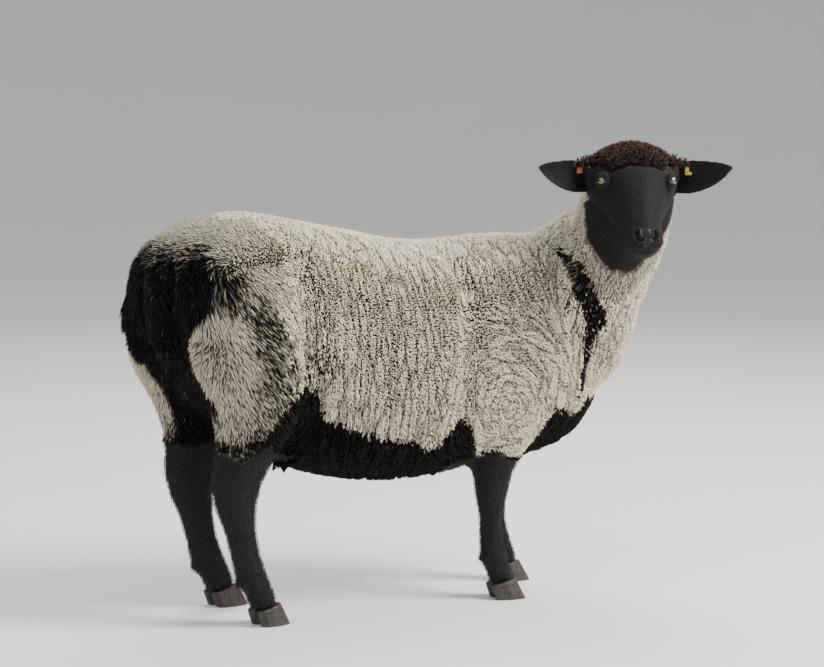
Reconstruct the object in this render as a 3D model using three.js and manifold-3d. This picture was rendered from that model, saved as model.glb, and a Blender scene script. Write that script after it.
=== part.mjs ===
// A life-size Suffolk-type ewe standing square and looking back over her right shoulder.
// Millimetres, +Z up, +X towards the animal's front, +Y to its left, standing on z = 0.
// The forms give the outline of the coat. They are lofted along the spine, neck, head and legs,
// joined into one body, and parted again by thin cuts into the parts that a person would name.
import * as THREE from "three";
import { mergeVertices } from "three/addons/utils/BufferGeometryUtils.js";
import Module from "manifold-3d";

const wasm = await Module();
wasm.setup();

// ---------- driving sizes ----------
const CUT = 0.4; // width of the thin cuts between parts
const SPINE_RADIUS = 1841; // the back bends evenly to the right in plan
const FAR = 2000; // larger than the animal, for cutting blocks

const HEAD_PLACE = new THREE.Vector3(444, -277, 819); // midway between the eyes
const HEAD_HEADING = -112; // degrees from +X, seen from above
const HEAD_PITCH = 43; // degrees that the head's long axis points down

const EYE = { forward: 6, side: 61, up: 14, radius: 14.5 };
const EAR = { root: 56, behind: 70, sweep: 64, thick: 5 };
const EARS = [
  { side: -1, name: "ear_right", tip: 187, drop: 2, broad: 1.1 },
  { side: 1, name: "ear_left", tip: 190, drop: 4, broad: 1.14 },
];
const TAG = { thick: 1.6, pin: 2.2, button: 6, reach: 9 };
const HOOF = {
  length: 66,
  width: 27,
  gap: 5, // between the two claws
  toeHeight: 46,
  heelHeight: 27,
  hidden: 12, // how far a claw's form goes on above the coronet, before it is cut
  toeAhead: 6, // the middle of the sole lies this far ahead of the leg
  lean: 26, // how far the top lies behind the sole
};
const HEAD_CUT = { forward: 10, up: -110, reach: 480 }; // the cut behind the jaws, square to the face
const NECK_BASE = new THREE.Vector3(430, -50, 580); // middle of the cut at the foot of the neck
const NECK_BASE_FACING = new THREE.Vector3(0.9, -0.33, 0.26);
const DEWCLAW = { up: 80, sunk: 4, apart: 13, radii: [9, 8, 12] };

// ---------- finishes ----------
const WOOL = { color: 0xb9b4a6, roughness: 0.95, metalness: 0 };
const BLACK_HAIR = { color: 0x1b1a1a, roughness: 0.8, metalness: 0 };
const HORN = { color: 0x2a2724, roughness: 0.55, metalness: 0 };
const IRIS = { color: 0xa89a55, roughness: 0.15, metalness: 0 };
const ORANGE_PLASTIC = { color: 0xc2452d, roughness: 0.4, metalness: 0 };
const YELLOW_PLASTIC = { color: 0xc9c63a, roughness: 0.4, metalness: 0 };

// ---------- solids ----------
function solidOf(geometry) {
  const bare = geometry.clone();
  bare.deleteAttribute("normal");
  bare.deleteAttribute("uv");
  const merged = mergeVertices(bare, 1e-3);
  return new wasm.Manifold(
    new wasm.Mesh({
      numProp: 3,
      vertProperties: merged.attributes.position.array,
      triVerts: new Uint32Array(merged.index.array),
    }),
  );
}

function geometryOf(solid) {
  const mesh = solid.getMesh();
  const positions = new Float32Array(mesh.numVert * 3);
  for (let i = 0; i < mesh.numVert; i++) {
    const at = i * mesh.numProp;
    positions.set(mesh.vertProperties.subarray(at, at + 3), i * 3);
  }
  const geometry = new THREE.BufferGeometry();
  geometry.setAttribute("position", new THREE.BufferAttribute(positions, 3));
  geometry.setIndex(new THREE.BufferAttribute(mesh.triVerts, 1));
  return geometry;
}

// A closed skin over a row of rings that all have the same number of points.
function loft(rings) {
  const sides = rings[0].length;
  const points = rings.flat();
  const centre = (ring) =>
    ring.reduce((sum, p) => sum.add(p), new THREE.Vector3()).divideScalar(sides);
  const first = points.push(centre(rings[0])) - 1;
  const last = points.push(centre(rings[rings.length - 1])) - 1;
  const faces = [];
  for (let i = 0; i < sides; i++) {
    const j = (i + 1) % sides;
    for (let k = 0; k + 1 < rings.length; k++) {
      const low = k * sides;
      const high = low + sides;
      faces.push(low + i, low + j, high + j, low + i, high + j, high + i);
    }
    const end = (rings.length - 1) * sides;
    faces.push(first, j, i, last, end + i, end + j);
  }
  const geometry = new THREE.BufferGeometry().setFromPoints(points);
  geometry.setIndex(faces);
  const solid = solidOf(geometry);
  if (solid.volume() > 0) return solid;
  geometry.setIndex(faces.reverse());
  return solidOf(geometry);
}

// A smooth curve through a table of sizes: gives the sizes at any value of its first column.
function curveThrough(table) {
  const curve = new THREE.CubicInterpolant(
    table.map((row) => row[0]),
    table.flatMap((row) => row.slice(1)),
    table[0].length - 1,
  );
  return (at) => [...curve.evaluate(at)];
}

// Reads a table of sizes at even steps of its first column.
function resample(table, count) {
  const sizesAt = curveThrough(table);
  const from = table[0][0];
  const to = table[table.length - 1][0];
  return Array.from({ length: count }, (_, i) => {
    const at = THREE.MathUtils.lerp(from, to, i / (count - 1));
    return [at, ...sizesAt(at)];
  });
}

// The point of a squarish oval at an angle, as [across, along].
function oval(angle, across, along, fullness) {
  const bend = (v) => Math.sign(v) * Math.abs(v) ** (2 / fullness);
  return [across * bend(Math.cos(angle)), along * bend(Math.sin(angle))];
}

function ring(sides, pointAt) {
  return Array.from({ length: sides }, (_, i) => pointAt((i / sides) * 2 * Math.PI));
}

function ellipsoid(radii, sides) {
  const geometry = new THREE.SphereGeometry(1, sides, sides / 2);
  geometry.scale(...radii);
  return solidOf(geometry);
}

// A large block whose bottom face passes through a point, with its up side along a direction.
function blockAbove(point, direction, size = [FAR, FAR, FAR]) {
  const turn = new THREE.Quaternion().setFromUnitVectors(
    new THREE.Vector3(0, 0, 1),
    direction.clone().normalize(),
  );
  const geometry = new THREE.BoxGeometry(...size);
  geometry.translate(0, 0, size[2] / 2);
  geometry.applyQuaternion(turn);
  geometry.translate(point.x, point.y, point.z);
  return solidOf(geometry);
}

// ---------- the body's own coordinates ----------
// A place along the bent spine, to the left of it, and above the floor.
function bodyPoint(along, left, up) {
  const angle = along / SPINE_RADIUS;
  return new THREE.Vector3(
    SPINE_RADIUS * Math.sin(angle) + left * Math.sin(angle),
    -SPINE_RADIUS * (1 - Math.cos(angle)) + left * Math.cos(angle),
    up,
  );
}

function frameAt(place, heading, pitch) {
  const turn = new THREE.Euler(
    0,
    THREE.MathUtils.degToRad(pitch),
    THREE.MathUtils.degToRad(heading),
    "ZYX",
  );
  const one = new THREE.Vector3(1, 1, 1);
  return new THREE.Matrix4().compose(place, new THREE.Quaternion().setFromEuler(turn), one);
}

const headFrame = frameAt(HEAD_PLACE, HEAD_HEADING, HEAD_PITCH);
const levelHeadFrame = frameAt(HEAD_PLACE, HEAD_HEADING, 0);

// A place forward of the eyes along the face, to the head's left, and square to the face.
function headPoint(forward, left, up) {
  return new THREE.Vector3(forward, left, up).applyMatrix4(headFrame);
}

// A place level with the eyes: ahead of them, to the head's left, and straight up.
function levelHeadPoint(ahead, left, up) {
  return new THREE.Vector3(ahead, left, up).applyMatrix4(levelHeadFrame);
}

// ---------- trunk, neck and tail ----------
// along the spine, height of back, height of keel, half width, height of the widest place
const TRUNK = [
  [-456, 684, 592, 80, 640],
  [-444, 708, 532, 130, 638],
  [-404, 739, 458, 165, 632],
  [-330, 768, 380, 180, 610],
  [-250, 770, 318, 190, 560],
  [-150, 751, 268, 203, 500],
  [-50, 733, 245, 216, 470],
  [50, 713, 238, 220, 460],
  [140, 708, 248, 212, 460],
  [220, 715, 262, 195, 470],
  [300, 718, 270, 176, 480],
  [360, 712, 282, 157, 480],
  [410, 690, 298, 134, 470],
  [450, 640, 330, 104, 460],
  [480, 560, 372, 58, 450],
];

function trunkForm() {
  const rings = resample(TRUNK, 23).map(([along, back, keel, half, widest]) =>
    ring(24, (angle) => {
      const rise = Math.sin(angle) > 0 ? back - widest : widest - keel;
      const [left, up] = oval(angle, half, rise, 2.25);
      return bodyPoint(along, left, widest + up);
    }),
  );
  return loft(rings);
}

// share of the neck's length, centre x, y, z, half depth, half width
const NECK = [
  [0, 300, -24, 520, 186, 134],
  [0.3, 395, -50, 560, 178, 130],
  [0.55, 446, -84, 634, 137, 112],
  [0.8, 486, -148, 720, 98, 96],
  [1, 484, -207, 810, 76, 86],
  [1.14, 478, -238, 834, 46, 60],
];

function neckForm() {
  const rows = resample(NECK, 11);
  const centres = rows.map(([, x, y, z]) => new THREE.Vector3(x, y, z));
  const path = new THREE.CatmullRomCurve3(centres);
  const rings = rows.map(([, , , , depth, half], i) => {
    const ahead = path.getTangent(i / (rows.length - 1));
    const side = new THREE.Vector3(0, 0, 1).cross(ahead).normalize();
    const nape = ahead.clone().cross(side).normalize();
    return ring(20, (angle) => {
      const [across, up] = oval(angle, half, depth, 2.1);
      return centres[i].clone().addScaledVector(side, across).addScaledVector(nape, up);
    });
  });
  return loft(rings);
}

// height, place along the spine, half width, half thickness
const TAIL = [
  [506, -447, 20, 7],
  [516, -449, 30, 11],
  [555, -453, 36, 14],
  [610, -455, 38, 16],
  [660, -450, 39, 19],
  [690, -436, 36, 22],
  [712, -412, 28, 22],
];

function tailForm(grow = 0) {
  return loft(
    resample(TAIL, 8).map(([up, along, half, thick]) =>
      ring(12, (angle) => {
        const [left, back] = oval(angle, half + grow, thick + grow, 2.3);
        return bodyPoint(along + back, left, up);
      }),
    ),
  );
}

// ---------- head ----------
// forward of the eyes, roof, floor, then the half widths of roof, orbit, cheek and jaw
const HEAD = [
  [-112, 2, -66, 20, 34, 34, 20],
  [-100, 22, -88, 38, 58, 56, 36],
  [-75, 40, -101, 48, 71, 76, 48],
  [-45, 52, -104, 52, 75, 85, 51],
  [-15, 58, -97, 50, 75, 83, 46],
  [15, 56, -86, 41, 65, 73, 39],
  [50, 48, -76, 32, 50, 56, 33],
  [90, 39, -63, 27, 39, 40, 27],
  [125, 33, -55, 24, 35, 35, 25],
  [150, 26, -49, 23, 35, 33, 21],
  [165, 13, -39, 18, 29, 27, 16],
  [172, -5, -25, 8, 13, 13, 8],
];

function headForm() {
  const rings = resample(HEAD, 21).map(([forward, roof, floor, ...half]) => {
    const deep = roof - floor;
    const levels = [0.1, 0.36, 0.68, 0.92];
    const right = levels.map((share, i) => headPoint(forward, -half[i], roof - share * deep));
    const left = levels.map((share, i) => headPoint(forward, half[i], roof - share * deep));
    const outline = new THREE.CatmullRomCurve3(
      [headPoint(forward, 0, roof), ...left, headPoint(forward, 0, floor), ...right.reverse()],
      true,
    );
    return outline.getPoints(20).slice(1);
  });
  return loft(rings).add(woolCap());
}

// The dome of wool on the poll, between the ears.
function woolCap() {
  const dome = ellipsoid([58, 95, 62], 16);
  const place = new THREE.Matrix4().makeTranslation(-52, 0, 21);
  return dome.transform(levelHeadFrame.clone().multiply(place).elements);
}

// share of the ear's length, height of its middle line, half width, depth of its hollow
const EAR_LEAF = [
  [0, 14, 20, 13],
  [0.2, 15, 27, 16],
  [0.45, 17, 29, 13],
  [0.7, 22, 23, 9],
  [0.88, 29, 14, 5],
  [1, 35, 3, 1.5],
];

// A point of an ear: its share of the length, its place from the lower edge at -1 to the upper
// edge at 1, and how far behind the middle of the wall it lies.
function earPoint(ear, share, across, behind, grow = 0) {
  const [middle, half, cup] = curveThrough(EAR_LEAF)(share);
  const ahead = EAR.sweep * (1 - (1 - share) ** 1.2) - EAR.behind;
  const out = THREE.MathUtils.lerp(EAR.root - grow, ear.tip, share);
  const edge = behind * (1 - 0.7 * across ** 6) + Math.sign(behind) * grow;
  const back = cup * (1 - across ** 2) + edge;
  const up = middle - ear.drop + (half * ear.broad + grow) * across;
  return levelHeadPoint(ahead - back, ear.side * out, up);
}

// One ear: a cupped leaf that stands out sideways with its hollow forward.
function earForm(ear, grow = 0) {
  const rows = 10;
  const arcPoints = 8;
  const rings = Array.from({ length: rows }, (_, i) => {
    const share = i / (rows - 1);
    const wall = (EAR.thick * (1 - 0.4 * share)) / 2;
    const arc = (behind) =>
      Array.from({ length: arcPoints }, (_, k) => {
        const across = (k / (arcPoints - 1)) * 2 - 1;
        return earPoint(ear, share, across, behind, grow);
      });
    return [...arc(wall), ...arc(-wall).reverse()];
  });
  return loft(rings);
}

function eyeForm(side, grow = 0) {
  const radius = EYE.radius + grow;
  const eye = ellipsoid([radius, radius, radius], 12);
  const seat = new THREE.Matrix4().makeTranslation(EYE.forward, side * EYE.side, EYE.up);
  return eye.transform(headFrame.clone().multiply(seat).elements);
}

// ---------- legs ----------
// height, place along the spine, half length, place to the side, half width
const HIND_LEG = [
  [16, -276, 32, 101, 30],
  [40, -286, 32, 101, 30],
  [62, -298, 31, 100, 28],
  [90, -313, 34, 99, 30],
  [125, -325, 31, 98, 27],
  [185, -340, 34, 97, 29],
  [228, -350, 44, 97, 34],
  [262, -350, 52, 97, 38],
  [292, -340, 57, 99, 43],
  [335, -324, 68, 103, 52],
  [375, -312, 84, 107, 64],
  [425, -306, 108, 110, 76],
  [490, -318, 134, 110, 84],
  [560, -326, 134, 104, 80],
  [630, -334, 118, 90, 70],
  [690, -336, 70, 72, 48],
];

const FORE_LEG = [
  [16, 272, 30, 88, 29],
  [40, 263, 30, 88, 29],
  [62, 254, 27, 88, 26],
  [90, 245, 28, 87, 27],
  [120, 240, 25, 86, 23],
  [180, 239, 27, 86, 25],
  [206, 240, 34, 86, 31],
  [228, 240, 37, 86, 32],
  [262, 243, 47, 88, 38],
  [300, 250, 64, 93, 48],
  [345, 262, 80, 100, 58],
  [400, 276, 94, 104, 66],
  [480, 292, 98, 102, 66],
  [560, 300, 84, 92, 58],
  [620, 296, 56, 82, 44],
];

const HIND_SPLIT = [
  [-20, -335, 130, 130, 118],
  [300, -335, 130, 130, 116],
  [430, -330, 132, 152, 116],
  [545, -330, 112, 185, 108],
  [610, -335, 62, 215, 70],
];

const FORE_SPLIT = [
  [-20, 285, 120, 125, 100],
  [230, 262, 95, 146, 100],
  [330, 270, 98, 150, 104],
  [420, 286, 88, 178, 104],
  [500, 296, 52, 206, 70],
];

const HOCK_HEIGHT = 230; // and the knee's
const LEGS = [
  { name: "hind_right", table: HIND_LEG, split: HIND_SPLIT, side: -1, stride: 0 },
  { name: "hind_left", table: HIND_LEG, split: HIND_SPLIT, side: 1, stride: 26 },
  { name: "front_right", table: FORE_LEG, split: FORE_SPLIT, side: -1, stride: -2 },
  { name: "front_left", table: FORE_LEG, split: FORE_SPLIT, side: 1, stride: 68 },
];

// The stride carries the lower leg forward: none of it at the body, all of it from the hock down.
function strideAt(leg, up) {
  const top = leg.table[leg.table.length - 1][0];
  return leg.stride * THREE.MathUtils.clamp((top - up) / (top - HOCK_HEIGHT), 0, 1);
}

function legForm(leg) {
  const rings = resample(leg.table, 17).map(([up, along, length, out, half]) =>
    ring(12, (angle) => {
      const [left, ahead] = oval(angle, half, length, 2.1);
      return bodyPoint(along + ahead + strideAt(leg, up), leg.side * out + left, up);
    }),
  );
  let form = loft(rings);
  for (const apart of [-1, 1]) form = form.add(dewclawForm(leg, apart));
  return form;
}

function dewclawForm(leg, apart) {
  const fetlock = leg.table.find(([up]) => up > DEWCLAW.up);
  const along = fetlock[1] + leg.stride - fetlock[2] + DEWCLAW.sunk;
  const place = bodyPoint(along, leg.side * fetlock[3] + apart * DEWCLAW.apart, DEWCLAW.up);
  return ellipsoid(DEWCLAW.radii, 6).translate(place.toArray());
}

// The stretch of the animal that belongs to one leg, wider than the leg itself.
function legSplit(leg, grow) {
  const rings = leg.split.map(([up, along, length, out, half]) =>
    ring(12, (angle) => {
      const [left, ahead] = oval(angle, half + grow, length + grow, 2.6);
      const higher = up > 0 ? grow : 0;
      return bodyPoint(along + ahead + strideAt(leg, up), leg.side * out + left, up + higher);
    }),
  );
  return loft(rings);
}

// The slanted plane round the top of a hoof, as a block of all that lies above it.
function aboveCoronet(leg, shift) {
  const [, along, , out] = leg.table[1];
  const middle = (HOOF.toeHeight + HOOF.heelHeight) / 2 + shift;
  const place = bodyPoint(along + leg.stride, leg.side * out, middle);
  const ahead = bodyPoint(along + leg.stride + HOOF.length, leg.side * out, middle).sub(place);
  ahead.z = HOOF.toeHeight - HOOF.heelHeight;
  const side = new THREE.Vector3(0, 0, 1).cross(ahead);
  return blockAbove(place, ahead.cross(side));
}

// One claw of a cloven hoof, toe forward, its flat sole on the floor.
function clawForm(leg, inner) {
  const [, along, , out] = leg.table[0];
  const tall = HOOF.toeHeight + HOOF.hidden;
  const rings = [0, 0.5, 1].map((share) => {
    const length = (HOOF.length * (1 - 0.16 * share)) / 2;
    const half = (HOOF.width * (1 - 0.08 * share)) / 2;
    return ring(10, (angle) => {
      const [left, ahead] = oval(angle, half, length, 2.6);
      const taper = 1 - 0.35 * Math.max(0, ahead / length) ** 2;
      const across = inner * (HOOF.gap / 2 + HOOF.width / 2) + left * taper;
      const forward = HOOF.toeAhead - HOOF.lean * share;
      return bodyPoint(along + leg.stride + forward + ahead, leg.side * out + across, tall * share);
    });
  });
  return loft(rings);
}

// ---------- ear tags ----------
// where on the ear, how far turned outwards, then the plates: place across and up, width, height
const TAGS = [
  {
    ear: EARS[0],
    name: "tag_right",
    share: 0.32,
    across: 0.42,
    turn: 27,
    plates: [[0, 0, 17, 14]],
    finish: ORANGE_PLASTIC,
  },
  {
    ear: EARS[1],
    name: "tag_left",
    share: 0.42,
    across: 0.38,
    turn: 27,
    plates: [
      [-2.5, 2, 8, 17],
      [0, -6, 13, 6],
    ],
    finish: YELLOW_PLASTIC,
  },
];

// A flat tag in the hollow of the ear, held by a pin to a round button behind it.
function tagForm(tag, grow = 0) {
  const pin = new THREE.CylinderGeometry(TAG.pin + grow, TAG.pin + grow, TAG.reach, 8);
  pin.rotateX(Math.PI / 2);
  pin.translate(0, 0, -TAG.reach / 2);
  const buttonThick = TAG.thick + 2 * grow;
  const button = new THREE.CylinderGeometry(TAG.button + grow, TAG.button + grow, buttonThick, 12);
  button.rotateX(Math.PI / 2);
  button.translate(0, 0, -TAG.reach);
  let form = solidOf(pin).add(solidOf(button));
  for (const [x, y, wide, tall] of tag.plates) {
    const plate = new THREE.BoxGeometry(wide + 2 * grow, tall + 2 * grow, TAG.thick + 2 * grow);
    plate.translate(x * tag.ear.side, y, 0);
    form = form.add(solidOf(plate));
  }
  const turn = THREE.MathUtils.degToRad(tag.turn);
  const facing = levelHeadPoint(Math.cos(turn), -tag.ear.side * Math.sin(turn), 0).sub(HEAD_PLACE);
  const up = new THREE.Vector3(0, 0, 1);
  const basis = new THREE.Matrix4().makeBasis(up.clone().cross(facing), up, facing);
  const place = earPoint(tag.ear, tag.share, tag.across, -EAR.thick / 2 - TAG.thick / 2);
  return form.transform(basis.setPosition(place).elements);
}

// ---------- assembly ----------
const sheep = new THREE.Group();
function show(name, solid, finish) {
  const mesh = new THREE.Mesh(geometryOf(solid), new THREE.MeshStandardMaterial(finish));
  mesh.name = name;
  sheep.add(mesh);
}

// Parts a solid along a plane with a thin cut: what lies above the plane within reach, and the rest.
function part(solid, point, direction, reach = FAR) {
  const step = direction.clone().setLength(CUT / 2);
  const size = [reach, reach, reach];
  const above = solid.intersect(blockAbove(point.clone().add(step), direction, size));
  const rest = solid.subtract(blockAbove(point.clone().sub(step), direction, size));
  return [above, rest];
}

let animal = trunkForm().add(neckForm()).add(headForm());
for (const leg of LEGS) animal = animal.add(legForm(leg));
for (const side of [-1, 1]) animal = animal.subtract(eyeForm(side, CUT));
for (const ear of EARS) animal = animal.subtract(earForm(ear, 2 * CUT));
animal = animal.subtract(tailForm(CUT));
for (const tag of TAGS) animal = animal.subtract(tagForm(tag, CUT));

const squareToFace = headPoint(0, 0, 1).sub(HEAD_PLACE);
const behindJaws = headPoint(HEAD_CUT.forward, 0, HEAD_CUT.up);
const [head, headless] = part(animal, behindJaws, squareToFace, HEAD_CUT.reach);
const [neck, body] = part(headless, NECK_BASE, NECK_BASE_FACING);
show("head", head, BLACK_HAIR);
show("neck", neck, WOOL);

let trunk = body;
for (const leg of LEGS) {
  const limb = body.intersect(legSplit(leg, 0)).intersect(aboveCoronet(leg, CUT / 2));
  trunk = trunk.subtract(legSplit(leg, CUT));
  show(`leg_${leg.name}`, limb, BLACK_HAIR);
  for (const inner of [-1, 1]) {
    const claw = clawForm(leg, inner).subtract(aboveCoronet(leg, -CUT / 2));
    show(`claw_${leg.name}_${inner === leg.side ? "outer" : "inner"}`, claw, HORN);
  }
}
show("trunk", trunk, WOOL);
show("tail", tailForm(), BLACK_HAIR);

show("eye_right", eyeForm(-1), IRIS);
show("eye_left", eyeForm(1), IRIS);
for (const ear of EARS) {
  const holes = TAGS.filter((tag) => tag.ear === ear).map((tag) => tagForm(tag, CUT));
  show(ear.name, holes.reduce((leaf, hole) => leaf.subtract(hole), earForm(ear)), BLACK_HAIR);
}
for (const tag of TAGS) show(tag.name, tagForm(tag), tag.finish);

// The origin is under the middle of the animal, on the floor.
const box = new THREE.Box3().setFromObject(sheep);
const middle = box.getCenter(new THREE.Vector3());
sheep.position.set(-middle.x, -middle.y, 0);

export default sheep;
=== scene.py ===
import math
from collections import namedtuple
from contextlib import contextmanager
from itertools import product

import bpy
import numpy as np
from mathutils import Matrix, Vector
from mathutils.kdtree import KDTree


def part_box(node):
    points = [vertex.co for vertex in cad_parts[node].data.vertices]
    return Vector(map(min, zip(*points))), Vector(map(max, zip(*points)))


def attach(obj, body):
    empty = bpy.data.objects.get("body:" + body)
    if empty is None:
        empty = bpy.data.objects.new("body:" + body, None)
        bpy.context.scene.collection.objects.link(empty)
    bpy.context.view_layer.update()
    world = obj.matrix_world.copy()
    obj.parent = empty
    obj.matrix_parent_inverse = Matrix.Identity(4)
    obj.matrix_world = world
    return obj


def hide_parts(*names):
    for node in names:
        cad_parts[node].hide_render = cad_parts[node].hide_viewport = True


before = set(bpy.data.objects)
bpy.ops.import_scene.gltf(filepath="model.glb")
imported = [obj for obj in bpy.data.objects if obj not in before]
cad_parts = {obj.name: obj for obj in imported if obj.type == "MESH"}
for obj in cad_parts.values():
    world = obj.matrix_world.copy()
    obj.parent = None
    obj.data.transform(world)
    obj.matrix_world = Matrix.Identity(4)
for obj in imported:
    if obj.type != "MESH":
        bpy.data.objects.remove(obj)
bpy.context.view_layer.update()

bl_info = {
    "name": "Museum sheep",
    "version": (1, 0, 0),
    "blender": (4, 5, 0),
    "location": "3D View > Sidebar > Sheep",
    "description": "Dresses the solids of a standing ewe with skin, fleece, hair, eyes, hooves and ear tags",
    "category": "Object",
}

# ---------- driving sizes, in metres and radians ----------
SPINE_RADIUS = 1.841  # the back bends evenly to the right in plan
SPINE_START = Vector((-0.0750, 0.0908))  # the middle of the spine, seen from above
HEAD_HEADING = math.radians(-112)
HEAD_PITCH = math.radians(43)
EYE_SEAT = (0.006, 0.014)  # forward and up from the middle of the head
EYE_RADIUS = 0.0145
FRONT_STRIDE = (-0.002, 0.068)  # how far the right and left foreleg stand forward
HIND_STRIDE = (0.0, 0.026)
FRONT_LEG_TOP = 0.50
HIND_LEG_TOP = 0.61
HOCK_HEIGHT = 0.23

FLESH = ["trunk", "neck", "head", "tail", "ear_right", "ear_left"]
LEGS = ["leg_hind_right", "leg_hind_left", "leg_front_right", "leg_front_left"]
CLAWS = [
    f"claw_{end}_{side}_{place}"
    for end, side, place in product(("hind", "front"), ("right", "left"), ("outer", "inner"))
]
SIDES = {"right": -1, "left": 1}
TAGS = ("tag_right", "tag_left")
BAKE_MAP = "OFBake"
UP = np.array((0.0, 0.0, 1.0))

# the head
GAZE = (0.62, 0.77, 0.13)  # the way an eye looks: ahead, aside and up, level with the floor
LID_SLANT = 0.12
OPENING_WIDE = {"inner": math.radians(50), "outer": math.radians(40)}  # of the lids, from the eye's middle
OPENING_TALL = {"upper": math.radians(26), "lower": math.radians(21)}
FAR_FROM_EYES = 0.03
OPENING_REACH = 0.032  # distances from the middle of an eye: as far as its opening counts,
LID_REACH = 0.034  # as far as the lids are shaped,
BROW_REACH = 0.05  # and as far as the brow and the hollow below reach
LID_GAP = 0.0009
LID_RISE = (  # distance outside the opening, and how far the skin stands from the middle of the eye
    (-0.0016, 0.0112), (-0.0003, 0.0150), (0.0005, 0.0162), (0.0018, 0.0168),
    (0.0038, 0.0163), (0.0052, 0.0166), (0.0100, 0.0162),
)
MUZZLE_SLOPE = math.radians(49)  # the front of the muzzle leans this far back from square to the face
NOSE_PAD_TOP = 0.074
NOSE_PAD_EDGE = ((0.074, 0.016), (0.084, 0.024), (0.094, 0.020), (0.102, 0.007), (0.112, 0.003))
NOSTRIL = ((0.0085, 0.0945), (0.0125, 0.0945), (0.0165, 0.0910), (0.0190, 0.0855), (0.0170, 0.0800))
MOUTH = ((0.118, -0.0155), (0.130, -0.0145), (0.145, -0.0125), (0.160, -0.0100), (0.180, -0.0080))
EAR_ROOT = 0.086  # nearer to the middle of the head than this, an ear runs on into it

# the body: places along the spine and up, with width and depth
HOLLOWS = (
    (((0.122, 0.715), (0.128, 0.690), (0.140, 0.660), (0.152, 0.620)), 0.016, 0.012),
    (((0.152, 0.640), (0.140, 0.54), (0.122, 0.44), (0.118, 0.36)), 0.026, 0.009),
    (((-0.225, 0.735), (-0.240, 0.64), (-0.232, 0.54), (-0.215, 0.44), (-0.200, 0.38)), 0.030, 0.011),
)

# edges of the short hair and of the black wool, each a line through (place, value) stops
HIND_HAIR_TOP = ((-0.42, 0.335), (-0.388, 0.325), (-0.346, 0.335), (-0.30, 0.345), (-0.26, 0.32))
FRONT_HAIR_TOP = ((0.12, 0.290), (0.176, 0.297), (0.236, 0.297), (0.28, 0.280), (0.33, 0.290))
# the neck's dark streak, partly dark wool and partly painted shadow: its middle and half width by height
STREAK_PLACE = ((0.40, 0.414), (0.512, 0.438), (0.554, 0.449), (0.627, 0.430), (0.694, 0.391), (0.74, 0.37))
STREAK_HALF = (
    (0.38, 0.004), (0.45, 0.008), (0.53, 0.014), (0.58, 0.024), (0.63, 0.020), (0.70, 0.008), (0.73, 0.002)
)
BELLY_TOP = (
    (-0.335, 0.33), (-0.315, 0.368), (-0.288, 0.412), (-0.254, 0.440), (-0.228, 0.450), (-0.203, 0.443),
    (-0.155, 0.374), (-0.086, 0.350), (-0.042, 0.340), (0.003, 0.340), (0.076, 0.327), (0.100, 0.348),
    (0.126, 0.380), (0.155, 0.350), (0.185, 0.290), (0.295, 0.280), (0.320, 0.318), (0.340, 0.348),
    (0.362, 0.374), (0.42, 0.362), (0.47, 0.325),
)
RUMP_RIGHT = (
    (0.30, 0.110), (0.343, 0.112), (0.411, 0.110), (0.446, 0.112), (0.478, 0.099), (0.527, 0.086),
    (0.58, 0.105), (0.614, 0.128), (0.656, 0.121), (0.70, 0.10),
)
RUMP_LEFT = ((0.30, 0.088), (0.49, 0.095), (0.52, 0.135), (0.66, 0.14))
HIP_BAND = (
    (-0.46, 0.610), (-0.43, 0.634), (-0.385, 0.628), (-0.335, 0.590), (-0.315, 0.535), (-0.29, 0.47)
)
HIP_BAND_HALF = ((-0.45, 0.030), (-0.40, 0.048), (-0.33, 0.080), (-0.30, 0.095))
HIP_BAND_SHARE = ((-0.40, 0.60), (-0.365, 0.48), (-0.33, 0.30), (-0.29, 0.12))
THIGH_FRONT = ((0.40, -0.235), (0.52, -0.247), (0.58, -0.275), (0.62, -0.30))

# how deep the skin lies under the tips of the coat
WOOL_DEPTH = 0.021
CAP_DEPTH = 0.013
HAIR_DEPTH = 0.0035
EAR_DEPTH = 0.0008


# ---------- small tools ----------
def unit(vectors):
    return vectors / np.maximum(np.linalg.norm(vectors, axis=-1, keepdims=True), 1e-12)


def ease(low, high, values):
    """0 below low, 1 above high and a smooth rise between them; low may be the larger."""
    t = np.clip((values - low) / (high - low), 0, 1)
    return t * t * (3 - 2 * t)


def through(values, stops):
    """Reads a line drawn through (value, result) stops."""
    xs, ys = zip(*sorted(stops))
    return np.interp(values, xs, ys)


def soft_noise(points, size, seed):
    """Smooth noise from -1 to 1 with lumps of about that size."""
    cell = points / size + 31.7 * seed
    base = np.floor(cell).astype(np.int64)
    blend = cell - base
    blend = blend * blend * (3 - 2 * blend)
    total = np.zeros(len(points))
    for corner in product((0, 1), repeat=3):
        at = base + corner
        code = at[:, 0] * 73856093 ^ at[:, 1] * 19349663 ^ at[:, 2] * 83492791 ^ seed * 7919
        code = (code ^ (code >> 13)) * 1274126177
        value = ((code >> 8) & 0xFFFF) / 32767.5 - 1
        total += value * np.prod(np.where(corner, blend, 1 - blend), axis=1)
    return total


class Axes:
    """A place with three directions, which turns points into distances along them and back."""

    def __init__(self, origin, directions):
        self.origin = np.array(origin, float)
        self.directions = np.array(directions, float)

    def of(self, points):
        return (points - self.origin) @ self.directions.T

    def at(self, distances):
        return self.origin + np.asarray(distances, float) @ self.directions


def head_directions(heading, pitch):
    forward = np.array(
        (math.cos(heading) * math.cos(pitch), math.sin(heading) * math.cos(pitch), -math.sin(pitch))
    )
    left = np.array((-math.sin(heading), math.cos(heading), 0))
    return forward, left, np.cross(forward, left)


def middle_of(node):
    low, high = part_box(node)
    return np.array((low + high) / 2)


def head_axes():
    """The face's axes: forward along the face, to its left, and square to it."""
    directions = head_directions(HEAD_HEADING, HEAD_PITCH)
    between_eyes = (middle_of("eye_right") + middle_of("eye_left")) / 2
    forward, up = EYE_SEAT
    origin = between_eyes - forward * directions[0] - up * directions[2]
    return Axes(origin, directions)


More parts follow.
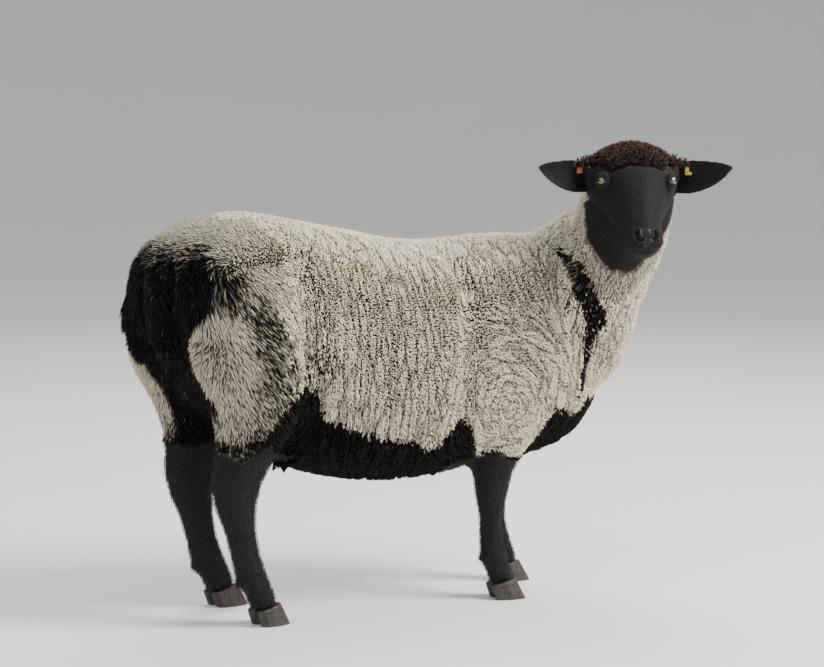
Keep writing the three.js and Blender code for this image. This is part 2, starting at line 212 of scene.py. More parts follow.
FACE = head_axes()
LEVEL = Axes(FACE.origin, head_directions(HEAD_HEADING, 0))


def body_of(points):
    """Distances along the bent spine, to the left of it, and above the floor."""
    x = points[:, 0] - SPINE_START.x
    y = points[:, 1] - SPINE_START.y + SPINE_RADIUS
    return SPINE_RADIUS * np.arctan2(x, y), np.hypot(x, y) - SPINE_RADIUS, points[:, 2]


def spine_directions(points):
    """The direction of the spine beside each point, as unit vectors."""
    x = points[:, 0] - SPINE_START.x
    y = points[:, 1] - SPINE_START.y + SPINE_RADIUS
    return unit(np.stack([y, -x, np.zeros(len(points))], 1))


def strided(points, strides, top):
    """Distance along the spine with each leg's own stride taken out."""
    along, left, up = body_of(points)
    share = np.clip((top - up) / (top - HOCK_HEIGHT), 0, 1)
    return along - np.where(left < 0, strides[0], strides[1]) * share


# ---------- where each kind of coat grows ----------
def on_ears(points):
    """The ears, from where they leave the head to their tips."""
    ahead, out, up = LEVEL.of(points).T
    near = (np.abs(up - 0.012) < 0.05) & (ahead < 0.012) & (ahead > -0.11)
    clear_of_neck = (np.abs(out) > 0.105) | ((ahead > -0.078) & (up > -0.026))
    return np.where(near & clear_of_neck, ease(0.078, 0.092, np.abs(out)), 0) * (np.abs(out) < 0.25)


def in_cap(points):
    """The dome of rusty wool on the poll."""
    ahead, out, up = LEVEL.of(points).T
    ragged = 0.006 * soft_noise(points, 0.014, 23)
    brow = 0.025 - 3.0 * out**2 + ragged
    front = ease(0.006, -0.006, ahead - (up - brow) * 0.55 - 0.032 + 4.0 * out**2)
    above = ease(0.020, 0.036, up + 0.25 * ahead)
    behind = ease(-0.150, -0.125, ahead)
    aside = ease(0.100, 0.088, np.abs(out))
    dome = front * above * behind * aside
    on_ear_base = ease(0.030, 0.038, up) * ease(0.062, 0.070, np.abs(out)) * ease(0.116, 0.100, np.abs(out))
    on_ear_base = on_ear_base * ease(-0.100, -0.085, ahead) * ease(0.010, 0.0, ahead)
    return np.maximum(dome * (1 - on_ears(points)), on_ear_base) * ease(0.007, 0.013, near_eyes(points))


def off_tags(points):
    """How far points lie from the nearer ear tag."""
    distances = []
    for node in TAGS:
        low, high = np.array(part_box(node))
        distances.append(np.linalg.norm(np.maximum(np.maximum(low - points, points - high), 0), axis=1))
    return np.min(distances, axis=0)


def inside_face(points):
    """How far points lie inside the edge of the face's short hair, in metres."""
    forward, out, up = FACE.of(points).T
    behind_jaw = forward + 0.030
    under_jaw = (up + 0.108 + 0.65 * (forward - 0.003)) / 1.19
    throat = 0.008 * np.clip(1 - (out / 0.05) ** 2, 0, 1)
    ragged = 0.004 * soft_noise(points, 0.012, 3)
    inside = np.minimum(behind_jaw, under_jaw + throat) + 0.007 + ragged
    ahead, _, height = LEVEL.of(points).T
    temple = np.minimum(ahead + 0.055, height + 0.035)
    from_ear = np.hypot((ahead + 0.045) / 0.052, np.minimum(height, 0) / 0.036)
    under_ear = 0.045 * (1 - from_ear) - 2 * np.maximum(0.070 - np.abs(out), 0)
    inside = np.max([inside, temple, under_ear], axis=0)
    near = (np.abs(out) < 0.125) & (np.linalg.norm(points - FACE.origin, axis=1) < 0.28)
    return np.where(near, inside, -0.1)


def on_face(points):
    """The short black hair of the face and throat."""
    face = ease(-0.003, 0.003, inside_face(points))
    return np.maximum(face, on_ears(points)) * (1 - in_cap(points))


def eye_axes(side):
    """Middle of an eye, with the ways it looks, lies towards the nose and rises."""
    ahead, left, up = LEVEL.directions
    gaze = unit(GAZE[0] * ahead + side * GAZE[1] * left + GAZE[2] * up)
    rise = unit(up + LID_SLANT * ahead - gaze * np.dot(gaze, up + LID_SLANT * ahead))
    inward = unit(ahead - gaze * np.dot(gaze, ahead) - rise * np.dot(rise, ahead))
    return Axes(middle_of("eye_right" if side < 0 else "eye_left"), (gaze, inward, rise))


def past_lids(eye, points):
    """How far points lie outside the opening between the lids, their angles above and inwards of
    the eye's axis, and their distance from its middle."""
    out, inward, rise = eye.of(points).T
    reach = np.linalg.norm(eye.of(points), axis=1)
    turn = np.arctan2(inward, out)
    lift = np.arctan2(rise, np.hypot(out, inward))
    wide = np.where(turn > 0, OPENING_WIDE["inner"], OPENING_WIDE["outer"])
    tall = np.where(lift > 0, OPENING_TALL["upper"], OPENING_TALL["lower"])
    beside = np.abs(turn) / wide
    gap = np.abs(lift) - tall * (1 - beside**2)
    corner = np.hypot(np.abs(turn) - wide, lift)
    outside = np.where(beside < 1, gap * (1 - 0.35 * beside), corner) * EYE_RADIUS
    return np.where(out > 0, outside, FAR_FROM_EYES), lift, turn, reach


def near_eyes(points):
    """How far points lie outside the nearer eye's opening."""
    nearest = np.full(len(points), FAR_FROM_EYES)
    for side in SIDES.values():
        outside, _, _, reach = past_lids(eye_axes(side), points)
        nearest = np.where(reach < OPENING_REACH, np.minimum(nearest, outside), nearest)
    return nearest


def muzzle_of(points):
    """Distance aside, and down over the front of the muzzle."""
    forward, out, up = FACE.of(points).T
    return np.abs(out), forward * math.cos(MUZZLE_SLOPE) - up * math.sin(MUZZLE_SLOPE)


def near_line(across, down, line):
    """Distance to a run of points joined by straight stretches, and the share of the run passed."""
    best = np.full(len(across), 9.0)
    share = np.zeros(len(across))
    places = np.array(line)
    for number, (start, stop) in enumerate(zip(places[:-1], places[1:])):
        step = stop - start
        run = ((across - start[0]) * step[0] + (down - start[1]) * step[1]) / np.dot(step, step)
        run = np.clip(run, 0, 1)
        distance = np.hypot(across - start[0] - run * step[0], down - start[1] - run * step[1])
        closer = distance < best
        best = np.where(closer, distance, best)
        share = np.where(closer, (number + run) / (len(places) - 1), share)
    return best, share


def hollows(points):
    """How deep the body sinks behind the shoulder blade, between shoulder and ribs, and before the thigh."""
    along, left, up = body_of(points)
    deep = np.zeros(len(points))
    for line, wide, depth in HOLLOWS:
        distance, share = near_line(along, up, line)
        deep = deep + depth * np.exp(-((distance / wide) ** 2)) * ease(0.0, 0.2, share) ** 0.5
    return deep * ease(0.075, 0.11, np.abs(left))


def on_nose(points):
    """The bare, moist skin between and round the nostrils."""
    aside, down = muzzle_of(points)
    forward = FACE.of(points)[:, 0]
    top = ease(NOSE_PAD_TOP - 0.002, NOSE_PAD_TOP + 0.002, down - 0.10 * aside)
    edge = through(down, NOSE_PAD_EDGE)
    return top * ease(edge + 0.002, edge - 0.001, aside) * ease(0.118, 0.112, down) * (forward > 0.12)


def above_shanks(points):
    """How far points lie above the edge of the short black hair of the lower legs, in metres."""
    _, left, up = body_of(points)
    hind = strided(points, HIND_STRIDE, HIND_LEG_TOP)
    front = strided(points, FRONT_STRIDE, FRONT_LEG_TOP)
    on_front = (np.abs(left) > 0.045) & (front > 0.13) & (front < 0.37)
    above_front = np.where(on_front, up - through(front, FRONT_HAIR_TOP), 1.0)
    above = np.where(hind < -0.2, up - through(hind, HIND_HAIR_TOP), above_front)
    return above + 0.012 * soft_noise(points, 0.03, 5)


def on_shanks(points):
    """The short black hair of the lower legs."""
    return ease(0.006, -0.006, above_shanks(points))


def neck_streak_and_shadow(points):
    """The dark streak down each side of the neck, partly dark wool and partly painted shadow, from 0 to 1."""
    along, left, up = body_of(points)
    half = through(up, STREAK_HALF) * (1 + 0.5 * soft_noise(points, 0.03, 11))
    aside = ease(0.070, 0.085, np.abs(left)) * ease(0.38, 0.42, up) * ease(0.73, 0.70, up)
    return ease(1.3, 0.7, np.abs(along - through(up, STREAK_PLACE)) / np.maximum(half, 1e-4)) * aside


def black_on_rump(along, left, up, wander):
    """The black of the rump and the inner thighs, and the grizzled band over the hip."""
    aside = np.abs(left)
    edge = np.where(left < 0, through(up, RUMP_RIGHT), through(up, RUMP_LEFT)) + 0.006 * wander
    rump = ease(edge + 0.006, edge - 0.006, aside) * ease(-0.375, -0.40, along)
    rump = rump * ease(0.716, 0.664, up + 0.012 * wander)
    inner = ease(0.092, 0.080, aside) * ease(0.60, 0.54, up) * ease(-0.24, -0.28, along)
    from_band = np.abs(up + 0.012 * wander - through(along, HIP_BAND)) / through(along, HIP_BAND_HALF)
    grizzle = through(along, HIP_BAND_SHARE) * ease(1.35, 0.25, from_band)
    grizzle = grizzle * ease(-0.47, -0.44, along) * ease(-0.255, -0.30, along) * ease(0.10, 0.13, aside)
    return [rump, inner, grizzle]


def black_below(along, left, up, wander):
    """The black of the belly and brisket and of the wool between the forelegs."""
    belly_top = through(along, BELLY_TOP)
    belly = ease(belly_top + 0.026, belly_top - 0.010, up + 0.012 * wander)
    belly = belly * ease(-0.35, -0.32, along)
    between = ease(0.100, 0.080, np.abs(left)) * ease(0.42, 0.38, up) * ease(0.09, 0.14, along)
    return [belly, between]


def scattered_black(along, left, up, wander):
    """The thinly spread black tufts of the rump, the flank and the thigh's front edge, and a spot of painted
    shade on the right of the rump.
    """
    specks = 0.5 * ease(0.745, 0.69, up) * ease(-0.36, -0.42, along) * ease(0.60, 0.64, up)
    specks = specks + 0.10 * ease(-0.19, -0.33, along)
    flank = 0.42 * ease(-0.14, -0.20, along) * ease(0.62, 0.52, up) * ease(-0.25, -0.23, along)
    front = through(up, THIGH_FRONT)
    mottled = 0.46 * ease(-0.39, -0.345, along + 0.02 * wander) * ease(front, front - 0.02, along)
    mottled = mottled * ease(0.64, 0.58, up)
    # a spot of painted shade low on the right of the rump
    rump_painted_shade = 0.22 * ease(0.03, 0.012, np.hypot(along + 0.43, up - 0.53)) * (left < 0)
    return [np.clip(specks, 0, 0.5), flank, mottled, rump_painted_shade]


def black_share(points):
    """How much of the wool is black at each point, from 0 to 1; the neck's streak is partly painted shadow
    and the spot on the right of the rump is painted shade.
    """
    along, left, up = body_of(points)
    wander = soft_noise(points, 0.035, 7)
    fade = np.where(along > 0, 0.020, 0.050)
    fading = 0.8 * ease(fade, 0.002, above_shanks(points) + 0.012 * wander)
    parts = [fading, 0.80 * neck_streak_and_shadow(points)]
    for marking in (black_below, black_on_rump, scattered_black):
        parts += marking(along, left, up, wander)
    return 1 - np.prod([1 - part for part in parts], axis=0)


def coat_depth(points):
    """How far the skin lies inside the outline of the coat."""
    along, left, up = body_of(points)
    bare = np.maximum(on_face(points), on_shanks(points))
    tail = (along < -0.425) * (np.abs(left) < 0.045) * (up > 0.49)
    thin = ease(0.50, 0.36, up) * np.where(along < 0, ease(-0.20, -0.24, along), ease(0.10, 0.15, along))
    collar = ease(-0.045, -0.004, inside_face(points))
    depth = WOOL_DEPTH - np.maximum(0.010 * thin, 0.011 * collar) - 0.006 * tail
    depth = depth * (1 - in_cap(points)) + CAP_DEPTH * in_cap(points)
    depth = depth * (1 - bare) + HAIR_DEPTH * bare
    return np.where(on_ears(points) > 0.5, EAR_DEPTH, depth)


# ---------- mesh tools ----------
def deselect_all():
    bpy.ops.object.select_all(action="DESELECT")


def make_active(piece):
    deselect_all()
    piece.select_set(True)
    bpy.context.view_layer.objects.active = piece


@contextmanager
def editing(piece, action="SELECT"):
    """Opens a piece in edit mode, with all of it selected, none, or what was selected before."""
    make_active(piece)
    bpy.ops.object.mode_set(mode="EDIT")
    if action:
        bpy.ops.mesh.select_all(action=action)
    yield
    bpy.ops.object.mode_set(mode="OBJECT")


def join(pieces):
    """Joins pieces into the last one."""
    make_active(pieces[-1])
    for piece in pieces:
        piece.select_set(True)
    if len(pieces) > 1:
        bpy.ops.object.join()
    return pieces[-1]


def copy_nodes(names, title):
    """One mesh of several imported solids, with their loose triangles merged."""
    copies = []
    for name in names:
        copies.append(bpy.data.objects.new(title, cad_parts[name].data.copy()))
        bpy.context.scene.collection.objects.link(copies[-1])
    piece = join(copies)
    piece.name = title
    piece.data.name = title
    piece.data.materials.clear()
    with editing(piece):
        bpy.ops.mesh.remove_doubles(threshold=1e-5)
    return piece


def apply_modifier(piece, kind, **settings):
    make_active(piece)
    modifier = piece.modifiers.new(kind, kind)
    for name, value in settings.items():
        setattr(modifier, name, value)
    bpy.ops.object.modifier_apply(modifier=modifier.name)


def read(items, name, width):
    """A row of numbers for each item of a mesh's list."""
    values = np.empty(len(items) * width, np.float32)
    items.foreach_get(name, values)
    return values.reshape(-1, width).astype(float)


def points_of(piece):
    return read(piece.data.vertices, "co", 3)


def normals_of(piece):
    return read(piece.data.vertex_normals, "vector", 3)


def move_points(piece, points):
    piece.data.vertices.foreach_set("co", np.asarray(points, np.float32).ravel())
    piece.data.update()


def weigh(piece, name, weights):
    """A vertex group with a weight for each vertex, in steps of a hundredth."""
    group = piece.vertex_groups.new(name=name)
    steps = np.round(np.clip(weights, 0, 1) * 100).astype(int)
    for step in np.unique(steps):
        if step:
            group.add(np.flatnonzero(steps == step).tolist(), step / 100, "REPLACE")


def smooth_shade(piece):
    piece.data.polygons.foreach_set("use_smooth", np.ones(len(piece.data.polygons), bool))
    piece.data.update()


def finish_piece(piece, material, nodes=()):
    """Gives a piece its material, puts it under the root body and hides the solids it stands for."""
    piece.data.materials.clear()
    piece.data.materials.append(material)
    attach(piece, "root")
    if nodes:
        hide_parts(*nodes)


def paint(piece, name, *channels):
    """A colour attribute of three channels, which the finishes read."""
    colours = np.ones((len(piece.data.vertices), 4), np.float32)
    for number, values in enumerate(channels):
        colours[:, number] = values
    layer = piece.data.color_attributes.new(name, "FLOAT_COLOR", "POINT")
    layer.data.foreach_set("color", colours.ravel())


# ---------- finishes ----------
class Wire:
    """A shader socket that can be added, subtracted and multiplied like a number."""

    def __init__(self, graph, socket):
        self.graph = graph
        self.socket = socket

    def _math(self, operation, first, second):
        return self.graph.node("ShaderNodeMath", {"operation": operation}, [first, second])

    def __add__(self, other):
        return self._math("ADD", self, other)

    def __radd__(self, other):
        return self._math("ADD", other, self)

    def __sub__(self, other):
        return self._math("SUBTRACT", self, other)

    def __rsub__(self, other):
        return self._math("SUBTRACT", other, self)

    def __mul__(self, other):
        return self._math("MULTIPLY", self, other)

    def __rmul__(self, other):
        return self._math("MULTIPLY", other, self)


OBJECT_COORDINATES = 3  # the output of that name on the Texture Coordinate node


class Graph:
    """The nodes of one material."""

    def __init__(self, name):
        self.material = bpy.data.materials.new(name)
        self.material.use_nodes = True
        self.tree = self.material.node_tree
        self.shader = self.tree.nodes["Principled BSDF"]

    def node(self, kind, settings=None, inputs=None, output=0):
        """Adds a node; inputs are a list from the first socket on, or a dictionary by socket name."""
        made = self.tree.nodes.new(kind)
        for name, value in (settings or {}).items():
            setattr(made, name, value)
        pairs = inputs.items() if isinstance(inputs, dict) else enumerate(inputs or [])
        for key, value in pairs:
            self.join(made.inputs[key], value)
        return Wire(self, made.outputs[output])

    def join(self, socket, value):
        if isinstance(value, Wire):
            self.tree.links.new(value.socket, socket)
        elif isinstance(value, (tuple, list)) and len(socket.default_value) == 4:
            socket.default_value = (*value[:3], 1)
        else:
            socket.default_value = value

    def set(self, **values):
        for name, value in values.items():
            self.join(self.shader.inputs[name.replace("_", " ")], value)

    def place(self, upright=1):
        """Object coordinates; a pattern on them is drawn out upright where the share is below 1."""
        at = self.node("ShaderNodeTexCoord", output=OBJECT_COORDINATES)
        return self.node("ShaderNodeMapping", {}, {"Vector": at, "Scale": (1, 1, upright)})

    def noise(self, size, detail=3.0, upright=1):
        inputs = {"Vector": self.place(upright), "Scale": 1 / size, "Detail": detail}
        return self.node("ShaderNodeTexNoise", {}, inputs)

    def range(self, value, low, high):
        """0 below low and 1 above high, with a smooth rise."""
        settings = {"interpolation_type": "SMOOTHSTEP"}
        return self.node("ShaderNodeMapRange", settings, [value, low, high, 0.0, 1.0])

    def mix(self, share, first, second, blend="MIX"):
        settings = {"data_type": "RGBA", "blend_type": blend}
        return self.node("ShaderNodeMix", settings, {0: share, 6: first, 7: second}, output=2)

    def bump(self, height, distance, strength=1.0):
        return self.node("ShaderNodeBump", {}, {"Height": height, "Distance": distance, "Strength": strength})

    def attribute(self, name, output=0):
        return self.node("ShaderNodeAttribute", {"attribute_name": name}, output=output)

    def channels(self, name):
        colour = self.attribute(name)
        made = self.node("ShaderNodeSeparateColor", {}, [colour]).socket.node
        return [Wire(self, socket) for socket in made.outputs]


def coat_finish(name, black, roughness, root_shade, bump_depth, shine=0.12, pale=None, rust=None):
    """Wool or hair: its marks decide the colour, painted shade darkens the roots and fine fibre breaks the
    gloss.
    """
    graph = Graph(name)
    blackness, rustiness, tone = graph.channels("marks")
    fibre = graph.noise(0.0016, 2.0)
    colour = graph.mix(graph.range(fibre, 0.4, 0.7), *black)
    if pale:
        blotched = graph.mix(graph.range(graph.noise(0.05), 0.35, 0.7), *pale)
        colour = graph.mix(blackness, blotched, colour)
    if rust:
        colour = graph.mix(rustiness, colour, graph.mix(graph.range(fibre, 0.35, 0.65), *rust))
    # painted shade: the roots are darker than the tips
    towards_tip = graph.range(graph.attribute("rise", output=2), 0.45, 0.98)
    shade = (root_shade + (1 - root_shade) * towards_tip) * tone * 2 * (0.86 + 0.28 * fibre)
    grey = graph.node("ShaderNodeCombineColor", {}, [shade, shade, shade])
    graph.set(
        Base_Color=graph.mix(1.0, colour, grey, "MULTIPLY"),
        Roughness=roughness + 0.1 * graph.noise(0.004),
        Specular_IOR_Level=shine,
        Normal=graph.bump(graph.noise(0.0022, upright=0.35), bump_depth),
    )
    return graph.material


def skin_finish():
    """Skin: black or pale as its marks say, rusty under the cap and wet at the nose and the lids."""
    graph = Graph("skin")
    blackness, rust, tone = graph.channels("marks")
    fibre = graph.noise(0.0012, upright=0.3)
    pale = graph.mix(graph.range(graph.noise(0.03), 0.3, 0.7), (0.26, 0.225, 0.17), (0.36, 0.31, 0.24))
    dark = graph.mix(graph.range(fibre, 0.35, 0.7), (0.005, 0.005, 0.0055), (0.016, 0.015, 0.015))
    colour = graph.mix(rust, graph.mix(blackness, pale, dark), (0.035, 0.019, 0.013))
    wet = graph.range(tone, 0.75, 0.95)
    graph.set(
        Base_Color=graph.mix(wet, colour, (0.012, 0.011, 0.012)),
        Roughness=graph.node("ShaderNodeMapRange", {}, [wet, 0.0, 1.0, 0.75, 0.33]),
        Specular_IOR_Level=0.2,
        Normal=graph.bump(fibre, 0.0006, 0.7),
    )
    return graph.material


def eye_finish(tint):
    """Iris, slot pupil and dark white, painted by where a point lies round the eye's own axis."""
    graph = Graph("eye")
    radial, aside, upward = graph.channels("gaze")
    edge = 0.02 * graph.noise(0.0012)
    across, tall = (
        graph.node("ShaderNodeMath", {"operation": "ABSOLUTE"}, [part - 0.5]) for part in (aside, upward)
    )
    pupil = graph.range(across + edge, 0.290, 0.250) * graph.range(tall + edge, 0.115, 0.080)
    in_iris = graph.range(radial, 0.53, 0.50)
    iris = graph.mix(graph.noise(0.0009, 4.0), tuple(c * 0.55 for c in tint), tuple(tint))
    iris = graph.mix(graph.range(radial, 0.40, 0.52) * 0.85, iris, (0.05, 0.035, 0.018))
    white = graph.mix(graph.range(radial, 0.54, 0.8), (0.035, 0.024, 0.018), (0.14, 0.10, 0.08))
    colour = graph.mix(pupil * in_iris, graph.mix(in_iris, white, iris), (0.003, 0.004, 0.006))
    graph.set(Base_Color=colour, Roughness=0.25, Coat_Weight=1.0, Coat_Roughness=0.03)
    return graph.material


def horn_finish(tint):
    """Hoof horn with growth rings, light upright streaks and a worn edge at the ground."""
    graph = Graph("horn")
    height = graph.node("ShaderNodeSeparateXYZ", {}, [graph.place()], output=2)
    rings = graph.node("ShaderNodeMath", {"operation": "SINE"}, [height * 1900 + 6 * graph.noise(0.02)])
    streak = graph.noise(0.004, 4.0, 0.12)
    colour = graph.mix(graph.range(streak, 0.35, 0.7), (0.013, 0.011, 0.010), tuple(tint))
    graph.set(
        Base_Color=graph.mix(graph.range(height, 0.006, 0.0) * 0.6, colour, (0.075, 0.065, 0.052)),
        Roughness=0.42 + 0.3 * streak,
        Normal=graph.bump(rings * 0.5 + streak, 0.0004, 0.8),
    )
    return graph.material


def plastic_finish(name, colour, faded):
    """Plastic, faded in places and with grime on it."""
    graph = Graph(name)
    grime = graph.range(graph.noise(0.006, 4.0), 0.5, 0.75)
    base = graph.mix(graph.range(graph.noise(0.012), 0.4, 0.6), colour, faded)
    graph.set(
        Base_Color=graph.mix(grime * 0.45, base, (0.09, 0.075, 0.05)),
        Roughness=0.38 + 0.3 * grime,
        Normal=graph.bump(graph.noise(0.002, 2.0), 0.00015),
    )
    return graph.material


def floor_finish(tint):
    graph = Graph("stage_floor")
    colour = graph.mix(graph.noise(0.4, 4.0), tuple(c * 0.97 for c in tint), tuple(tint))
    graph.set(Base_Color=colour, Roughness=0.9)
    return graph.material


# ---------- the skin ----------
BODY_VOXEL = 0.0082
HEAD_VOXEL = 0.0026
EAR_VOXEL = 0.0017
FUSE = 0.0010  # the copies grow this much, so that the thin cuts between the parts close
NECK_STUB = -0.200  # the head's skin reaches this far down the neck, square to the face
HEAD_ONLY = -0.130  # up from here only the head's skin shows on the neck
HANDOVER = -0.155
BODY_ONLY = -0.180  # and down from here only the body's
NECK_MIDDLE = (  # up from the face, and forward or left of its middle
    ((-0.258, -0.005), (-0.165, -0.031), (-0.061, -0.052)),
    ((-0.258, -0.070), (-0.165, -0.009), (-0.061, 0.011)),
)
DRAWN_IN = 0.45  # share of the way to the neck's middle, where one skin dives under the other
NEAR_HEAD = 0.24
EYE_REFINED = 0.023  # how far round each eye and the muzzle the head is meshed more finely
MUZZLE_REFINED = 0.036
MUZZLE_MIDDLE = (0.158, 0.0, 0.006)  # forward, left and up on the face
EAR_GROWN = 0.0004  # before it is smoothed, and sunk in after it
EAR_SUNK = 0.0003
SMOOTHING = 0.6


def neck_stub():
    """The top of the neck, which the head's skin takes along."""
    stub = copy_nodes(["neck"], "neck_stub")
    cut = tuple(FACE.at((0, 0, NECK_STUB)))
    upward = tuple(FACE.directions[2])
    with editing(stub):
        bpy.ops.mesh.bisect(plane_co=cut, plane_no=upward, use_fill=True, clear_inner=True)
    return stub


def fuse(piece, voxel):
    """Makes one closed, evenly meshed form of overlapping solids."""
    apply_modifier(piece, "DISPLACE", strength=FUSE, mid_level=0)
    apply_modifier(piece, "REMESH", mode="VOXEL", voxel_size=voxel)


def draw_in(piece, shares):
    """Draws the neck's points in towards its middle line."""
    distances = FACE.of(points_of(piece))
    for column, middle in enumerate(NECK_MIDDLE):
        distances[:, column] += (through(distances[:, 2], middle) - distances[:, column]) * shares
    move_points(piece, FACE.at(distances))


def soften(piece, iterations, shrinks, weights=None):
    """Smooths the facets away and gives back what the form lost by it."""
    if weights is None:
        weights = np.ones(len(piece.data.vertices))
    weigh(piece, "soft", weights)
    apply_modifier(piece, "SMOOTH", factor=SMOOTHING, iterations=iterations, vertex_group="soft")
    if shrinks:
        apply_modifier(piece, "DISPLACE", strength=shrinks, mid_level=0, vertex_group="soft")
    piece.vertex_groups.clear()


def sink_skin(skin, steps=4):
    """Moves the skin in by the depth of the coat, a little at a time so that folds don't cross."""
    depth = coat_depth(points_of(skin)) + hollows(points_of(skin)) + FUSE
    for _ in range(steps):
        points = points_of(skin)
        move_points(skin, points - normals_of(skin) * (depth / steps)[:, None])
    soften(skin, 5, 0.0, ease(0.005, 0.015, depth))


def refine(piece, centre, reach, cuts):
    """Splits the faces near a place into smaller ones."""
    with editing(piece, "DESELECT"):
        bpy.ops.mesh.select_mode(type="FACE")
    middles = read(piece.data.polygons, "center", 3)
    near = np.linalg.norm(middles - np.asarray(centre), axis=1) < reach
    piece.data.polygons.foreach_set("select", near)
    with editing(piece, None):
        bpy.ops.mesh.subdivide(number_cuts=cuts)


def shape_lids(head):
    """Opens the skin over each eye and builds the lids, the brow and the hollow under the eye."""
    points = points_of(head)
    for side in SIDES.values():
        eye = eye_axes(side)
        outside, lift, turn, reach = past_lids(eye, points)
        lid = through(outside, LID_RISE)
        hold = ease(0.0150, 0.0045, outside) * (reach < LID_REACH)
        brow = 0.0042 * ease(0.0045, 0.0080, outside) * ease(0.0150, 0.0095, outside)
        brow = brow * ease(0.05, 0.45, lift) * ease(-1.4, -0.7, turn) * ease(1.3, 0.6, turn)
        hollow = 0.0022 * ease(0.0040, 0.0075, outside) * ease(0.0160, 0.0100, outside)
        hollow = hollow * ease(-0.05, -0.4, lift) * ease(-0.8, 0.0, turn)
        grown = reach * (1 - hold) + lid * hold
        near = reach < BROW_REACH
        grown = grown + (brow - hollow) * near
        clear = EYE_RADIUS + LID_GAP + 0.0008 * ease(0.003, 0.008, outside)
        grown = np.where((outside > 0.0004) & (reach < LID_REACH), np.maximum(grown, clear), grown)
        places = eye.origin + (points - eye.origin) * (grown / np.maximum(reach, 1e-5))[:, None]
        points = np.where(near[:, None], places, points)
    move_points(head, points)


def shape_muzzle(head):
    """Sinks the nostrils, the cleft of the lip and the mouth, and raises the wings of the nose."""
    points = points_of(head)
    aside, down = muzzle_of(points)
    forward, _, up = FACE.of(points).T
    normals = normals_of(head)
    facing = normals @ FACE.directions[0] * 0.75 + normals @ FACE.directions[2] * 0.66
    distance, share = near_line(aside, down, NOSTRIL)
    wide = 0.0022 + 0.0014 * (1 - np.abs(2 * share - 0.9))
    at_front = ease(0.1, 0.5, facing) * ease(0.125, 0.135, forward)
    pit = 0.0065 * ease(wide + 0.0012, wide - 0.0012, distance) * at_front
    wing = 0.0018 * ease(wide + 0.0008, wide + 0.0022, distance)
    wing = wing * ease(wide + 0.0080, wide + 0.0035, distance) * ease(0.007, 0.013, aside) * at_front
    cleft = 0.0016 * ease(0.0026, 0.0006, aside) * at_front
    cleft = cleft * ease(0.088, 0.096, down) * ease(0.122, 0.116, down)
    from_mouth = up - through(forward, MOUTH)
    mouth = 0.0038 * ease(0.0026, 0.0006, np.abs(from_mouth)) * ease(0.121, 0.128, forward)
    lower = 0.0030 * ease(0.0, -0.003, from_mouth) * ease(-0.040, -0.020, from_mouth)
    lower = lower * ease(0.125, 0.155, forward)
    lip = 0.0010 * ease(0.0012, 0.0030, from_mouth) * ease(0.0090, 0.0055, from_mouth)
    lip = lip * ease(0.125, 0.14, forward)
    move_points(head, points + normals * (wing + lip - pit - cleft - mouth - lower)[:, None])


def body_skin():
    """The skin of all but the head and ears."""
    body = copy_nodes(["trunk", "neck", "tail"] + LEGS, "body")
    fuse(body, BODY_VOXEL)
    soften(body, 2, 0.0008)
    soften(body, 16, 0.0016, ease(0.36, 0.46, points_of(body)[:, 2]))
    sink_skin(body)
    points = points_of(body)
    near_head = np.linalg.norm(points - FACE.origin, axis=1) < NEAR_HEAD
    draw_in(body, DRAWN_IN * ease(HANDOVER, HEAD_ONLY, FACE.of(points)[:, 2]) * near_head)
    return body


def ear_skin(side):
    """One ear, meshed finely so that its rim stays smooth."""
    ear = copy_nodes(["ear_" + side], "ear_skin")
    apply_modifier(ear, "DISPLACE", strength=EAR_GROWN, mid_level=0)
    apply_modifier(ear, "REMESH", mode="VOXEL", voxel_size=EAR_VOXEL)
    apply_modifier(ear, "SMOOTH", factor=SMOOTHING, iterations=14)
    move_points(ear, points_of(ear) - normals_of(ear) * EAR_SUNK)
    places = LEVEL.of(points_of(ear))
    short = np.maximum(EAR_ROOT - np.abs(places[:, 1]), 0)
    places[:, 1] -= np.sign(places[:, 1]) * short * 0.8
    places[:, 0] += short * 0.2
    move_points(ear, LEVEL.at(places))
    return ear


def head_skin():
    """The skin of the head and of the top of the neck, with its lids and muzzle shaped."""
    stub = neck_stub()
    head = join([stub, copy_nodes(["head", "eye_right", "eye_left"], "skin")])
    fuse(head, HEAD_VOXEL)
    soften(head, 7, 0.0004)
    soften(head, 18, 0.0009)
    sink_skin(head)
    for side in SIDES.values():
        refine(head, eye_axes(side).origin, EYE_REFINED, 2)
    refine(head, FACE.at(MUZZLE_MIDDLE), MUZZLE_REFINED, 1)
    shape_lids(head)
    shape_muzzle(head)
    draw_in(head, DRAWN_IN * ease(HANDOVER, BODY_ONLY, FACE.of(points_of(head))[:, 2]))
    return head


def build_skin():
    """Joins the skins of head, ears and body into one closed mesh."""
    skin = head_skin()
    for part in [ear_skin(side) for side in SIDES] + [body_skin()]:
        apply_modifier(skin, "BOOLEAN", operation="UNION", object=part, solver="MANIFOLD")
        bpy.data.objects.remove(part)
    ahead, out, up = LEVEL.of(points_of(skin)).T
    ear_root = ease(0.016, 0.006, np.abs(np.abs(out) - EAR_ROOT + 0.008))
    soften(skin, 4, 0.0, ear_root * (np.abs(ahead + 0.05) < 0.09) * (up > -0.05))
    return skin


class SHEEP_OT_skin(bpy.types.Operator):
    """Build the one skin that stands for all parts of flesh"""

    bl_idname = "sheep.skin"
    bl_label = "Skin"

    def execute(self, context):
        skin = build_skin()
        with editing(skin):
            bpy.ops.uv.smart_project(angle_limit=math.radians(66), island_margin=0.002)
        skin.data.uv_layers[0].name = BAKE_MAP
        points = points_of(skin)
        bare = np.maximum(on_face(points), on_shanks(points))
        moist = np.maximum(on_nose(points), ease(0.0016, 0.0006, np.abs(near_eyes(points))))
        black = np.max([black_share(points), bare, in_cap(points)], axis=0)
        paint(skin, "marks", black, in_cap(points), 0.5 + 0.5 * moist)
        smooth_shade(skin)
        finish_piece(skin, skin_finish(), FLESH + LEGS)
        return {"FINISHED"}


